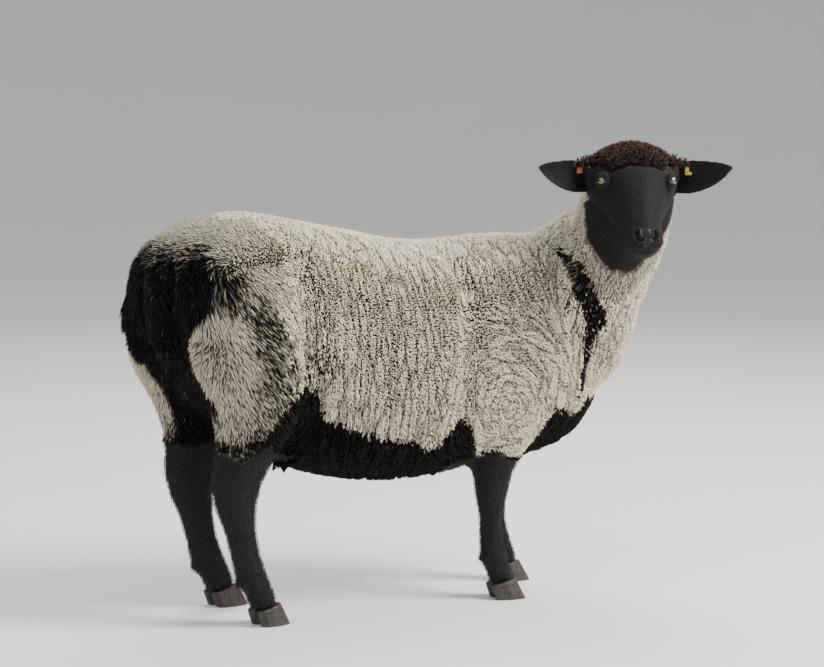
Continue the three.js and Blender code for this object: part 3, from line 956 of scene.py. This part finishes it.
# ---------- the coat ----------
Roots = namedtuple("Roots", "places normals uvs")
Shape = namedtuple("Shape", "lift profile sides")  # profile: shares of length and of width at each ring
STAPLE = Shape(0.45, ((-0.10, 0.70), (0.84, 1.0)), 3)
STREAK = Shape(0.5, ((-0.10, 0.8), (0.62, 1.0)), 3)
HAIR = Shape(0.35, ((-0.12, 1.0), (0.55, 0.75)), 3)
CURL = Shape(0.4, ((-0.1, 0.9), (0.3, 1.0), (0.55, 1.0), (0.78, 1.0), (0.95, 0.8)), 4)
PATCH = 0.003  # how wide a tuft lies on the unwrap
CROWDING = 3.2  # places tried on a square of the spacing


def scatter(piece, spacing, where, seed):
    """Evenly spread roots on a piece, thinned out where the share is below 1."""
    layer = piece.data.attributes.new("grows", "FLOAT", "POINT")
    layer.data.foreach_set("value", where.astype(np.float32))
    tree = bpy.data.node_groups.new("scatter", "GeometryNodeTree")
    for in_out in ("INPUT", "OUTPUT"):
        tree.interface.new_socket("Geometry", in_out=in_out, socket_type="NodeSocketGeometry")
    kinds = (
        "NodeGroupInput",
        "GeometryNodeDistributePointsOnFaces",
        "GeometryNodeInputNamedAttribute",
        "GeometryNodeStoreNamedAttribute",
        "GeometryNodePointsToVertices",
        "NodeGroupOutput",
    )
    entry, spread, grows, keep, vertices, leave = (tree.nodes.new(kind) for kind in kinds)
    spread.distribute_method = "POISSON"
    spread.inputs["Distance Min"].default_value = spacing
    spread.inputs["Density Max"].default_value = CROWDING / spacing**2
    spread.inputs["Seed"].default_value = seed
    grows.data_type = "FLOAT"
    grows.inputs["Name"].default_value = "grows"
    keep.data_type = "FLOAT_VECTOR"
    keep.inputs["Name"].default_value = "root_normal"
    for source, target in (
        (entry.outputs[0], spread.inputs["Mesh"]),
        (grows.outputs["Attribute"], spread.inputs["Density Factor"]),
        (spread.outputs["Points"], keep.inputs["Geometry"]),
        (spread.outputs["Normal"], keep.inputs["Value"]),
        (keep.outputs["Geometry"], vertices.inputs["Points"]),
        (vertices.outputs["Mesh"], leave.inputs[0]),
    ):
        tree.links.new(source, target)
    modifier = piece.modifiers.new("scatter", "NODES")
    modifier.node_group = tree
    evaluated = piece.evaluated_get(bpy.context.evaluated_depsgraph_get())
    mesh = evaluated.to_mesh()
    roots = Roots(
        read(mesh.vertices, "co", 3),
        unit(read(mesh.attributes["root_normal"].data, "vector", 3)),
        read(mesh.attributes[BAKE_MAP].data, "vector", 2),
    )
    evaluated.to_mesh_clear()
    piece.modifiers.remove(modifier)
    bpy.data.node_groups.remove(tree)
    piece.data.attributes.remove(piece.data.attributes["grows"])
    return roots


def flatten_on(normals, directions):
    """The directions with what points out of the surface taken away."""
    return unit(directions - normals * np.sum(directions * normals, axis=1, keepdims=True))


def tuft_faces(rings, sides):
    """Faces of one closed tuft: its foot, its rings of quads and its tip. Gives the corners, their
    places on the tuft's patch of the unwrap and how many corners each face has."""
    corners, patch, sizes = [], [], []

    def face(*points):
        sizes.append(len(points))
        for ring, side in points:
            corners.append(rings * sides if ring == rings else ring * sides + side % sides)
            patch.append((side / sides - 0.5, ring / rings - 0.5))

    face(*((0, side) for side in reversed(range(sides))))
    for ring in range(rings - 1):
        for side in range(sides):
            face((ring, side), (ring, side + 1), (ring + 1, side + 1), (ring + 1, side))
    for side in range(sides):
        face((rings - 1, side), (rings - 1, side + 1), (rings, side + 0.5))
    return np.array(corners), np.array(patch), np.array(sizes)


def tuft_mesh(title, points, corners, sizes):
    """One mesh of many tufts with the same faces; points has a row of places for each tuft."""
    count, each, _ = points.shape
    mesh = bpy.data.meshes.new(title)
    mesh.vertices.add(count * each)
    mesh.vertices.foreach_set("co", points.astype(np.float32).ravel())
    starts = np.arange(count)[:, None]
    loops = (corners + starts * each).ravel()
    mesh.loops.add(len(loops))
    mesh.loops.foreach_set("vertex_index", loops.astype(np.int32))
    first = np.concatenate([[0], np.cumsum(sizes)[:-1]])
    mesh.polygons.add(count * len(sizes))
    mesh.polygons.foreach_set("loop_start", (first + starts * len(corners)).ravel().astype(np.int32))
    mesh.polygons.foreach_set("loop_total", np.tile(sizes, count).astype(np.int32))
    mesh.update(calc_edges=True)
    return mesh


def grow_tufts(title, roots, tips, widths, shape, marks, material, seed, curl=None):
    """Joined closed tufts. Each bends from straight off the skin towards its tip, and curls round
    that line by a radius and a number of turns; marks are its black, rust and tone, the tone with painted
    shade in it for the wool."""
    random = np.random.default_rng(seed)
    count, rings, sides = len(tips), len(shape.profile), shape.sides
    chord = tips - roots.places
    length = np.linalg.norm(chord, axis=1, keepdims=True)
    knee = roots.places + roots.normals * length * shape.lift
    across = unit(np.cross(chord, random.normal(size=(count, 3))))
    beside = unit(np.cross(chord, across))
    turn = random.uniform(0, 2 * math.pi, (count, 1))
    points = np.empty((count, rings * sides + 1, 3))
    rise = np.empty((count, rings * sides + 1))

    def middle(share):
        centre = roots.places * (1 - share) ** 2 + knee * 2 * share * (1 - share) + tips * share**2
        if curl:
            radius, turns = curl
            angle = turn + 2 * math.pi * turns * share
            centre = centre + (across * np.cos(angle) + beside * np.sin(angle)) * radius * share
        return centre

    for ring, (share, wide) in enumerate(shape.profile):
        centre = middle(share)
        for side in range(sides):
            angle = 2 * math.pi * side / sides
            spoke = across * math.cos(angle) + beside * math.sin(angle)
            points[:, ring * sides + side] = centre + spoke * widths[:, None] * wide
            rise[:, ring * sides + side] = share
    points[:, -1] = middle(1.0)
    rise[:, -1] = 1
    corners, patch, sizes = tuft_faces(rings, sides)
    mesh = tuft_mesh(title, points, corners, sizes)
    middle_uv = np.clip(roots.uvs, PATCH / 2, 1 - PATCH / 2)
    corner_uvs = middle_uv[:, None, :] + patch * PATCH
    mesh.uv_layers.new(name=BAKE_MAP).uv.foreach_set("vector", corner_uvs.astype(np.float32).ravel())
    heights = mesh.attributes.new("rise", "FLOAT", "POINT")
    heights.data.foreach_set("value", rise.astype(np.float32).ravel())
    piece = bpy.data.objects.new(title, mesh)
    bpy.context.scene.collection.objects.link(piece)
    smooth_shade(piece)
    paint(piece, "marks", *(np.repeat(values, rings * sides + 1) for values in marks))
    finish_piece(piece, material)


ELBOW = (0.245, 0.385)  # along and up; the cracks of the shoulder curve round it
NEIGHBOURS = 22  # locks that a root may belong to


def crack_field(points, normals):
    """Which way the cracks of the fleece run at each place, and how much longer than wide its locks are."""
    along, left, up = body_of(points)
    spine = spine_directions(points)
    elbow = np.stack([along - ELBOW[0], up - ELBOW[1]], 1)
    reach = np.linalg.norm(elbow, axis=1)
    shoulder = ease(0.24, 0.15, reach) * ease(0.05, 0.09, np.abs(left))
    turn = np.arctan2(elbow[:, 0], -elbow[:, 1]) + 0.55 * soft_noise(points, 0.05, 29)
    arc = np.stack([np.cos(turn), np.sin(turn)], 1)
    thigh = ease(-0.22, -0.28, along)
    neck = ease(0.33, 0.40, along)
    top = ease(0.62, 0.69, up) * (along < 0.35)
    run = UP + thigh[:, None] * (spine * 0.7 - UP * 1.9)
    run = run + neck[:, None] * (spine * 0.35)
    run = run * (1 - shoulder[:, None]) + shoulder[:, None] * (spine * arc[:, :1] + UP * arc[:, 1:])
    stretch = 4.5 - 2.0 * thigh - 1.6 * neck
    stretch = stretch * (1 - top) + 1.3 * top
    return flatten_on(normals, run), stretch


def locks_of(roots, lock_size, lock_stretch, seed):
    """Groups roots into locks of about that many. Gives the way to the middle of its lock for each
    root, the lock's own number, and the distance to a crack between two locks, in metres."""
    points, normals, _ = roots
    run, stretch = crack_field(points, normals)
    stretch = 1 + (stretch - 1) * lock_stretch
    across = np.cross(normals, run)
    random = np.random.default_rng(seed)
    seeds = random.permutation(len(points))[: len(points) // lock_size]
    tree = KDTree(len(seeds))
    for number, at in enumerate(seeds):
        tree.insert(points[at], number)
    tree.balance()
    near = np.array([[found[1] for found in tree.find_n(point, NEIGHBOURS)] for point in points])
    offset = points[seeds][near] - points[:, None, :]
    root = np.sqrt(stretch)[:, None]
    d_long = np.einsum("nkc,nc->nk", offset, run) / root
    d_wide = np.einsum("nkc,nc->nk", offset, across) * root
    d_out = np.einsum("nkc,nc->nk", offset, normals) * 0.6
    metric = np.sqrt(d_long**2 + d_wide**2 + d_out**2)
    order = np.argsort(metric, axis=1)
    rows = np.arange(len(points))
    best = order[:, 0]
    gap = (metric[rows, order[:, 1]] - metric[rows, best]) / 2
    pull = across * (d_wide[rows, best] / root[:, 0])[:, None]
    pull = pull + run * (0.15 * d_long[rows, best] * root[:, 0])[:, None]
    return pull, near[rows, best], gap / root[:, 0]


def fleece_lie(points, normals):
    """The way the wool leans, along the skin."""
    along, _, _ = body_of(points)
    spine = spine_directions(points)
    thigh = ease(-0.24, -0.32, along)[:, None]
    neck = ease(0.36, 0.42, along)[:, None]
    on_top = ease(0.25, 0.75, normals[:, 2:3])
    lean = -UP - spine * 0.35 * (1 - thigh) + spine * 0.5 * thigh - spine * 0.25 * neck
    return flatten_on(normals, lean * (1 - on_top) - spine * on_top)


def streaky(points):
    """Where the wool lies in fine streaks instead of standing in curls: rump, thighs and upper neck."""
    along, _, up = body_of(points)
    hind = ease(-0.21, -0.33, along + 0.05 * soft_noise(points, 0.03, 17)) * ease(0.79, 0.71, up)
    brow = ease(-0.05, -0.02, inside_face(points))
    return np.maximum(hind, brow)


def wool_finish(context, name, **look):
    """Wool that is black or, in the colour of the settings, pale."""
    pale = tuple(context.scene.sheep_finish.pale_wool)
    shades = [tuple(c * 0.92 for c in pale), pale]
    black = [(0.008, 0.007, 0.007), (0.020, 0.018, 0.017)]
    return coat_finish(name, black, pale=shades, **look)


def mixed_black(places, random, softness):
    """Black or pale for each root, thrown by the share of black wool, with greys between."""
    throw = random.uniform(0, 1, len(places)) * 0.6 + 0.4 * (0.5 + 0.5 * soft_noise(places, 0.009, 15))
    return ease(-softness, softness, black_share(places) - (0.06 + 0.88 * throw))


def grow_bands(title, roots, tips, widths, shape, marks, material):
    """Grows one piece for each stretch of each side, so that none gets too heavy."""
    along, left, _ = body_of(roots.places)
    bands = np.digitize(along, (-0.36, -0.20, 0.0, 0.20, 0.36)) * 2 + (left > 0)
    names = ("rump", "thigh", "flank", "ribs", "shoulder", "neck")
    for band in np.unique(bands):
        own = bands == band
        name = f"{title}_{names[band // 2]}_{'left' if band % 2 else 'right'}"
        own_roots = Roots(*(values[own] for values in roots))
        own_marks = [values[own] for values in marks]
        grow_tufts(name, own_roots, tips[own], widths[own], shape, own_marks, material, band)


def wool_region(points):
    wool = 1 - on_face(points) - on_shanks(points) - in_cap(points)
    return ease(0.35, 0.6, wool) * (1 - on_ears(points))


def size_of(context, name):
    """A length from the settings, without the rounding of its stored value."""
    return round(getattr(context.scene.sheep_coat, name), 6)


# Lengths are in metres, or shares of the coat's depth or of the way to the middle of a lock.
FLEECE = {
    "lock_size": 10,
    "lock_stretch": 0.8,
    "crack": (0.0016, 0.0003),  # from the edge of a lock, where its crack starts and where it is full
    "length": (1.02, 0.07, 0.0007, (-0.0007, 0.0007)),  # whole, lost in a crack, by the lock, by the tuft
    "spread": 0.035,
    "gather": (0.21, 0.06),  # the tips lean together in their lock, some more than others
    "greys": 0.16,
    "tone": (0.05, (-0.08, 0.08), 0.10),  # by the lock, by the tuft, and painted shade lost in a crack
    "widths": (0.8, 1.15),
    "seeds": (4, 21, 5, 8),
}
STREAKS = {
    "lock_size": 8,
    "lock_stretch": 0.8,
    "crack": (0.0014, 0.0002),
    "length": (1.0, 0.10, 0, (-0.0016, 0.0012)),
    "spread": 0.10,
    "gather": (0.34, 0.10),
    "greys": 0.28,
    # by the lock, by the tuft, and painted shade lost in a crack
    "tone": (0.07, (-0.14, 0.10), 0.22),
    "widths": (0.75, 1.15),
    "seeds": (14, 22, 15, 18),
}
WIDE_LOCKS = {"lock_size": 78, "lock_stretch": 1.2, "seed": 6}
WIDE_CRACK = (0.0024, 0.0008)
WIDE_CUT = 0.22  # share of the coat's depth lost in a wide crack
WIDE_GATHER = 0.08
# share of painted shade that darkens the tufts in a wide crack
WIDE_PAINTED_SHADE = 0.30
LEAST_RISE = 0.35  # a tuft that lies flatter than this isn't made longer to reach the coat's surface


class Wool:
    """One kind of wool, whose tufts are gathered in locks with cracks between."""

    def __init__(self, context, title, kind, share):
        skin = bpy.data.objects["skin"]
        points = points_of(skin)
        where = wool_region(points) * share(points)
        scatter_seed, tuft_seed, lock_seed, tone_seed = kind["seeds"]
        self.title = title
        self.kind = kind
        self.width = size_of(context, title + "_width")
        self.roots = scatter(skin, size_of(context, title + "_spacing"), where, scatter_seed)
        self.random = np.random.default_rng(tuft_seed)
        self.pull, lock, gap = locks_of(self.roots, kind["lock_size"], kind["lock_stretch"], lock_seed)
        self.lock_tone = np.random.default_rng(tone_seed).uniform(-1, 1, lock.max() + 1)[lock]
        self.crack = ease(*kind["crack"], gap)

    def tips(self, slant, length):
        """Ends of tufts that lean along the coat and still reach out to its surface."""
        places, normals, _ = self.roots
        spread = self.random.normal(size=(len(places), 3)) * self.kind["spread"]
        lean = unit(normals + fleece_lie(places, normals) * slant[:, None] + spread)
        return places + lean * (length / np.maximum(np.sum(lean * normals, 1), LEAST_RISE))[:, None]

    def grow(self, shape, material, slant, longer, pulled, darker):
        """Grows the tufts, longer by a share, darker by a share of painted shade and with their tips pulled
        by a distance.
        """
        kind, places = self.kind, self.roots.places
        count = len(places)
        full, cut, uneven, ragged = kind["length"]
        length = coat_depth(places) * (full - cut * self.crack + longer) + uneven * self.lock_tone
        length = length + self.random.uniform(*ragged, count)
        gathered, varied = kind["gather"]
        tips = self.tips(slant, length) + self.pull * (gathered + varied * self.lock_tone)[:, None] + pulled
        black = mixed_black(places, self.random, kind["greys"])
        by_lock, by_tuft, crack_painted_shade = kind["tone"]
        tone = 1 + by_lock * self.lock_tone + self.random.uniform(*by_tuft, count)
        # painted shade: tufts darken towards a crack, and darker adds the painted shade of the wide cracks
        tone = 0.5 * (tone - darker - crack_painted_shade * self.crack)
        widths = self.width * self.random.uniform(*kind["widths"], count)
        marks = (black, np.zeros(count), tone)
        grow_bands(self.title, self.roots, tips, widths, shape, marks, material)


class SHEEP_OT_fleece(bpy.types.Operator):
    """Grow the clipped fleece as short staples, gathered in small and large locks with cracks between"""

    bl_idname = "sheep.fleece"
    bl_label = "Fleece"

    def execute(self, context):
        wool = Wool(context, "fleece", FLEECE, lambda points: ease(0.6, 0.4, streaky(points)))
        wide_pull, _, wide_gap = locks_of(wool.roots, **WIDE_LOCKS)
        wide_crack = ease(*WIDE_CRACK, wide_gap)
        places = wool.roots.places
        slant = 0.38 + 0.30 * ease(-0.12, -0.25, body_of(places)[0]) + 0.15 * soft_noise(places, 0.05, 27)
        material = wool_finish(context, "fleece", roughness=0.8, root_shade=0.70, bump_depth=0.0016)
        longer = -WIDE_CUT * wide_crack
        # the wide cracks get shorter tufts and painted shade
        wool.grow(STAPLE, material, slant, longer, wide_pull * WIDE_GATHER, WIDE_PAINTED_SHADE * wide_crack)
        return {"FINISHED"}


class SHEEP_OT_streaks(bpy.types.Operator):
    """Grow the finer wool of rump, thighs and nape, which lies flat in streaks"""

    bl_idname = "sheep.streaks"
    bl_label = "Streaky wool"

    def execute(self, context):
        wool = Wool(context, "streaks", STREAKS, lambda points: ease(0.3, 0.5, streaky(points)))
        places = wool.roots.places
        along, left, up = body_of(places)
        hanging = ease(-0.37, -0.42, along) * ease(0.70, 0.62, up) * ease(0.545, 0.585, up)
        slant = 0.55 + 0.30 * ease(0.72, 0.62, up) * ease(-0.25, -0.36, along) + 0.5 * hanging
        slant = slant - 0.35 * ease(-0.39, -0.42, along) * ease(0.575, 0.545, up) * ease(0.44, 0.50, up)
        slant = slant + 0.12 * soft_noise(places, 0.02, 19)
        material = wool_finish(context, "streaky_wool", roughness=0.75, root_shade=0.5, bump_depth=0.0010)
        longer = 0.30 * hanging * (left > 0.05)
        wool.grow(STREAK, material, slant, longer, 0, 0)
        return {"FINISHED"}


CLEAR_OF_TAGS = 0.0045
HAIR_SEEDS = (31, 41)  # of the roots and of the hairs
HAIRS = {  # length, half the thickness, and how far it lies down
    "hair_face": (0.0072, 0.00034, 3.4),
    "hair_ears": (0.0060, 0.00034, 5.0),
    "hair_legs": (0.0110, 0.00070, 3.0),
}


def hair_lie(points, normals):
    """Hair lies back over the face, out along the ears and down the legs."""
    face = on_face(points)[:, None]
    ears = on_ears(points)[:, None]
    _, out, _ = LEVEL.of(points).T
    back = -FACE.directions[0] - 0.25 * FACE.directions[2]
    outward = LEVEL.directions[1] * np.sign(out)[:, None]
    return flatten_on(normals, -UP * (1 - face) + face * (1 - ears) * back + ears * outward)


class SHEEP_OT_hair(bpy.types.Operator):
    """Grow the short flat hair of the face, ears and legs"""

    bl_idname = "sheep.hair"
    bl_label = "Hair"

    def execute(self, context):
        skin = bpy.data.objects["skin"]
        points = points_of(skin)
        ears = on_ears(points)
        face = on_face(points) * (1 - ears) * ease(0.0008, 0.0020, near_eyes(points)) * (1 - on_nose(points))
        black = [(0.004, 0.004, 0.0045), (0.014, 0.0135, 0.0145)]
        material = coat_finish("hair", black, roughness=0.36, root_shade=0.55, bump_depth=0.0004, shine=0.42)
        regions = (face, ears * (off_tags(points) > CLEAR_OF_TAGS), on_shanks(points))
        scatter_seed, hair_seed = HAIR_SEEDS
        for number, (title, where) in enumerate(zip(HAIRS, regions)):
            size, radius, slant = HAIRS[title]
            spacing = size_of(context, title + "_spacing")
            roots = scatter(skin, spacing, ease(0.4, 0.6, where), scatter_seed + number)
            places, normals, _ = roots
            random = np.random.default_rng(hair_seed + number)
            count = len(places)
            spread = random.normal(size=(count, 3)) * 0.25
            lean = unit(normals + hair_lie(places, normals) * slant + spread)
            tips = places + lean * (size * random.uniform(0.7, 1.2, count))[:, None]
            widths = radius * random.uniform(0.8, 1.2, count)
            marks = (np.ones(count), np.zeros(count), 0.5 * random.uniform(0.75, 1.2, count))
            grow_tufts(title, roots, tips, widths, HAIR, marks, material, number)
        return {"FINISHED"}


CAP_SEEDS = (51, 52, 54)  # of the roots, the curls and the bends
CAP_LOCKS = {"lock_size": 6, "lock_stretch": 0.0, "seed": 53}
CURL_LENGTH = 0.004  # at the edge of the cap, and how much more in its middle
CURL_GAIN = 0.009
CURL_WIDTH = 0.0009  # half the thickness
CURL_TURN = (0.0026, 1.2)  # radius and number of turns
CURL_GATHER = 0.4


class SHEEP_OT_cap(bpy.types.Operator):
    """Grow the curly rusty wool on the poll"""

    bl_idname = "sheep.cap"
    bl_label = "Cap"

    def execute(self, context):
        skin = bpy.data.objects["skin"]
        where = ease(0.3, 0.6, in_cap(points_of(skin)))
        scatter_seed, curl_seed, bend_seed = CAP_SEEDS
        roots = scatter(skin, size_of(context, "cap_spacing"), where, scatter_seed)
        places, normals, _ = roots
        random = np.random.default_rng(curl_seed)
        count = len(places)
        lean = unit(normals + random.normal(size=(count, 3)) * 0.25)
        inner = in_cap(places)
        height = CURL_LENGTH + CURL_GAIN * ease(0.3, 1.0, inner)
        tips = places + lean * (height * random.uniform(0.85, 1.1, count))[:, None]
        pull, _, _ = locks_of(roots, **CAP_LOCKS)
        tips = tips + pull * CURL_GATHER
        widths = CURL_WIDTH * random.uniform(0.8, 1.2, count)
        black = [(0.012, 0.010, 0.010), (0.03, 0.024, 0.022)]
        rust = [(0.042, 0.023, 0.017), (0.135, 0.074, 0.052)]
        look = {"roughness": 0.8, "root_shade": 0.35, "bump_depth": 0.0008}
        material = coat_finish("cap_wool", black, rust=rust, **look)
        rise = LEVEL.of(places)[:, 2] + 0.35 * np.abs(LEVEL.of(places)[:, 1])
        rusty = ease(-0.6, 0.5, random.uniform(-1, 1, count))
        rusty = rusty * ease(0.5, 1.0, inner) * ease(0.035, 0.075, rise)
        marks = (np.ones(count), rusty, 0.5 * random.uniform(0.8, 1.25, count))
        grow_tufts("wool_cap", roots, tips, widths, CURL, marks, material, bend_seed, CURL_TURN)
        return {"FINISHED"}


# ---------- eyes, claws and tags ----------
BALL_RADIUS = EYE_RADIUS * 0.995
CORNEA_EDGE = 0.56  # share of the ball's radius
CORNEA_BULGE = 0.0016
CLAW_VOXEL = 0.0017
CLAW_GROWN = 0.0006  # what the smoothing took away
RING_DEPTH = 0.0003
RING_TURNS = 1500  # radians in a metre of claw
TAG_FINISHES = {
    "tag_right": ("orange_tag", "orange_plastic", (0.72, 0.13, 0.03), (0.78, 0.30, 0.16)),
    "tag_left": ("yellow_tag", "yellow_plastic", (0.52, 0.56, 0.02), (0.60, 0.62, 0.10)),
}


class SHEEP_OT_eyes(bpy.types.Operator):
    """Round the eyeballs out, with a clear bulge, an iris and a slot pupil"""

    bl_idname = "sheep.eyes"
    bl_label = "Eyes"

    def execute(self, context):
        material = eye_finish(context.scene.sheep_finish.iris)
        for name, side in SIDES.items():
            deselect_all()
            bpy.ops.mesh.primitive_uv_sphere_add(segments=64, ring_count=40, radius=1)
            ball = context.object
            ball.name = "ball_" + name
            aside, upward, out = points_of(ball).T
            radial = np.where(out > 0, np.hypot(aside, upward), 1.0)
            bulge = CORNEA_BULGE * np.clip(1 - (radial / CORNEA_EDGE) ** 2, 0, 1)
            local = np.stack([out, aside, upward], 1) * (BALL_RADIUS + bulge)[:, None]
            move_points(ball, eye_axes(side).at(local))
            paint(ball, "gaze", radial, aside + 0.5, upward + 0.5)
            if side < 0:
                with editing(ball):
                    bpy.ops.mesh.flip_normals()
            smooth_shade(ball)
            finish_piece(ball, material, ["eye_" + name])
        return {"FINISHED"}


class SHEEP_OT_claws(bpy.types.Operator):
    """Round the claws off and give the horn its growth rings"""

    bl_idname = "sheep.claws"
    bl_label = "Claws"

    def execute(self, context):
        material = horn_finish(context.scene.sheep_finish.horn)
        for node in CLAWS:
            claw = copy_nodes([node], "horn_" + node)
            apply_modifier(claw, "REMESH", mode="VOXEL", voxel_size=CLAW_VOXEL)
            apply_modifier(claw, "SMOOTH", factor=SMOOTHING, iterations=6)
            points = points_of(claw)
            normals = normals_of(claw)
            steep = 1 - np.abs(normals[:, 2])
            rings = RING_DEPTH * np.sin(points[:, 2] * RING_TURNS) * steep * ease(0.004, 0.008, points[:, 2])
            points = points + normals * (rings + CLAW_GROWN)[:, None]
            points[:, 2] = np.maximum(points[:, 2], 0)
            move_points(claw, points)
            smooth_shade(claw)
            finish_piece(claw, material, [node])
        return {"FINISHED"}


class SHEEP_OT_tags(bpy.types.Operator):
    """Finish the ear tags with rounded edges"""

    bl_idname = "sheep.tags"
    bl_label = "Tags"

    def execute(self, context):
        for node in TAGS:
            slot, name, colour, faded = TAG_FINISHES[node]
            tag = copy_nodes([node], "plate_" + node)
            apply_modifier(tag, "BEVEL", width=0.0005, segments=2, limit_method="ANGLE")
            finish_piece(tag, plastic_finish(name, colour, faded), [node])
        return {"FINISHED"}


# ---------- settings ----------
def length_setting(name, description, default):
    return bpy.props.FloatProperty(
        name=name, description=description, unit="LENGTH", precision=4, default=default
    )


def angle_setting(name, description, degrees):
    default = math.radians(degrees)
    return bpy.props.FloatProperty(name=name, description=description, subtype="ANGLE", default=default)


def colour_setting(name, description, default):
    return bpy.props.FloatVectorProperty(name=name, description=description, subtype="COLOR", default=default)


class SheepCoatSettings(bpy.types.PropertyGroup):
    fleece_spacing: length_setting("Fleece spacing", "Least distance between two staples", 0.0028)
    fleece_width: length_setting("Staple", "Half the thickness of a staple", 0.0023)
    streaks_spacing: length_setting("Streaks spacing", "Least distance between two streaky tufts", 0.0025)
    streaks_width: length_setting("Streaky tuft", "Half the thickness of a streaky tuft", 0.0014)
    hair_face_spacing: length_setting("Face hair spacing", "Least distance between two hairs", 0.0019)
    hair_ears_spacing: length_setting("Ear hair spacing", "Least distance between two hairs", 0.0021)
    hair_legs_spacing: length_setting("Leg hair spacing", "Least distance between two hairs", 0.0038)
    cap_spacing: length_setting("Cap spacing", "Least distance between two curls", 0.0024)


class SheepFinishSettings(bpy.types.PropertyGroup):
    pale_wool: colour_setting("Pale wool", "Colour of the clean fleece", (0.84, 0.76, 0.60))
    iris: colour_setting("Iris", "Colour of the iris", (0.155, 0.155, 0.085))
    horn: colour_setting("Hoof horn", "Light streaks of the claws", (0.045, 0.038, 0.030))


class SheepStageSettings(bpy.types.PropertyGroup):
    azimuth: angle_setting("Azimuth", "Heading of the camera's place", -27)
    elevation: angle_setting("Elevation", "Height of the camera as an angle", 5.5)
    distance: length_setting("Distance", "From the camera to its target", 4.8)
    target: bpy.props.FloatVectorProperty(
        name="Target", description="What the camera looks at", subtype="XYZ", default=(0.0070, 0.0491, 0.527)
    )
    lens: bpy.props.FloatProperty(
        name="Lens", description="Focal length of the camera", unit="CAMERA", default=107.54
    )
    floor: colour_setting("Floor", "Colour of the floor", (0.80, 0.80, 0.79))


# ---------- the stage ----------
FLOOR = {"size": 70, "x_subdivisions": 180, "y_subdivisions": 180}
SWEEP = {"start": 7.0, "stop": 32.0, "height": 12.0}  # the floor bends up into the background
LIGHTS = (  # degrees round from the camera and up from the floor, distance, size, watts and colour
    (72, 40, 4.5, 2.4, 430, (1.0, 0.96, 0.90)),
    (-40, 30, 5.0, 4.5, 120, (0.90, 0.95, 1.0)),
    (180, 55, 5.0, 3.5, 190, (1.0, 0.98, 0.95)),
)
SKY = (0.80, 0.82, 0.85, 1)
SKY_STRENGTH = 0.66


def heading(azimuth, elevation):
    """The direction from the middle of the stage to a place round it."""
    level = math.cos(elevation)
    return Vector((math.sin(azimuth) * level, -math.cos(azimuth) * level, math.sin(elevation)))


class SHEEP_OT_stage(bpy.types.Operator):
    """Set the camera, the pale floor and the soft studio lights"""

    bl_idname = "sheep.stage"
    bl_label = "Stage"

    def execute(self, context):
        settings = context.scene.sheep_stage
        target = Vector(settings.target)
        toward = heading(settings.azimuth, settings.elevation)
        deselect_all()
        bpy.ops.object.camera_add(location=target + toward * settings.distance)
        camera = context.object
        camera.name = "camera"
        camera.rotation_euler = toward.to_track_quat("Z", "Y").to_euler()
        camera.data.lens = settings.lens
        camera.data.sensor_width = 36
        camera.data.clip_end = 200
        context.scene.camera = camera
        bpy.ops.mesh.primitive_grid_add(**FLOOR)
        floor = context.object
        floor.name = "stage_floor"
        places = points_of(floor)
        places[:, 2] = SWEEP["height"] * ease(SWEEP["start"], SWEEP["stop"], np.hypot(*places[:, :2].T))
        move_points(floor, places)
        smooth_shade(floor)
        floor.data.materials.append(floor_finish(settings.floor))
        for turn, lift, distance, size, watts, colour in LIGHTS:
            toward = heading(settings.azimuth + math.radians(turn), math.radians(lift))
            deselect_all()
            bpy.ops.object.light_add(type="AREA", location=target + toward * distance)
            light = context.object
            light.rotation_euler = toward.to_track_quat("Z", "Y").to_euler()
            light.data.shape = "DISK"
            light.data.size = size
            light.data.energy = watts
            light.data.color = colour
        world = bpy.data.worlds.new("studio")
        world.use_nodes = True
        background = world.node_tree.nodes["Background"]
        background.inputs["Color"].default_value = SKY
        background.inputs["Strength"].default_value = SKY_STRENGTH
        context.scene.world = world
        context.scene.view_settings.view_transform = "AgX"
        return {"FINISHED"}


STEPS = ("stage", "skin", "fleece", "streaks", "hair", "cap", "eyes", "claws", "tags")


class SHEEP_PT_panel(bpy.types.Panel):
    """Lists the pieces of the sheep in the order in which they are made"""

    bl_idname = "SHEEP_PT_panel"
    bl_label = "Sheep"
    bl_space_type = "VIEW_3D"
    bl_region_type = "UI"
    bl_category = "Sheep"

    def draw(self, context):
        for name in STEPS:
            self.layout.operator("sheep." + name)
        for name, kind in SETTINGS.items():
            box = self.layout.box()
            for setting in kind.__annotations__:
                box.prop(getattr(context.scene, name), setting)


SETTINGS = {
    "sheep_coat": SheepCoatSettings,
    "sheep_finish": SheepFinishSettings,
    "sheep_stage": SheepStageSettings,
}
CLASSES = (
    *SETTINGS.values(),
    SHEEP_OT_skin,
    SHEEP_OT_fleece,
    SHEEP_OT_streaks,
    SHEEP_OT_hair,
    SHEEP_OT_cap,
    SHEEP_OT_eyes,
    SHEEP_OT_claws,
    SHEEP_OT_tags,
    SHEEP_OT_stage,
    SHEEP_PT_panel,
)


def register():
    for item in CLASSES:
        bpy.utils.register_class(item)
    for name, kind in SETTINGS.items():
        setattr(bpy.types.Scene, name, bpy.props.PointerProperty(type=kind))


def unregister():
    for name in SETTINGS:
        delattr(bpy.types.Scene, name)
    for item in reversed(CLASSES):
        bpy.utils.unregister_class(item)


def main():
    register()
    for name in STEPS:
        getattr(bpy.ops.sheep, name)()


if __name__ == "__main__":
    main()
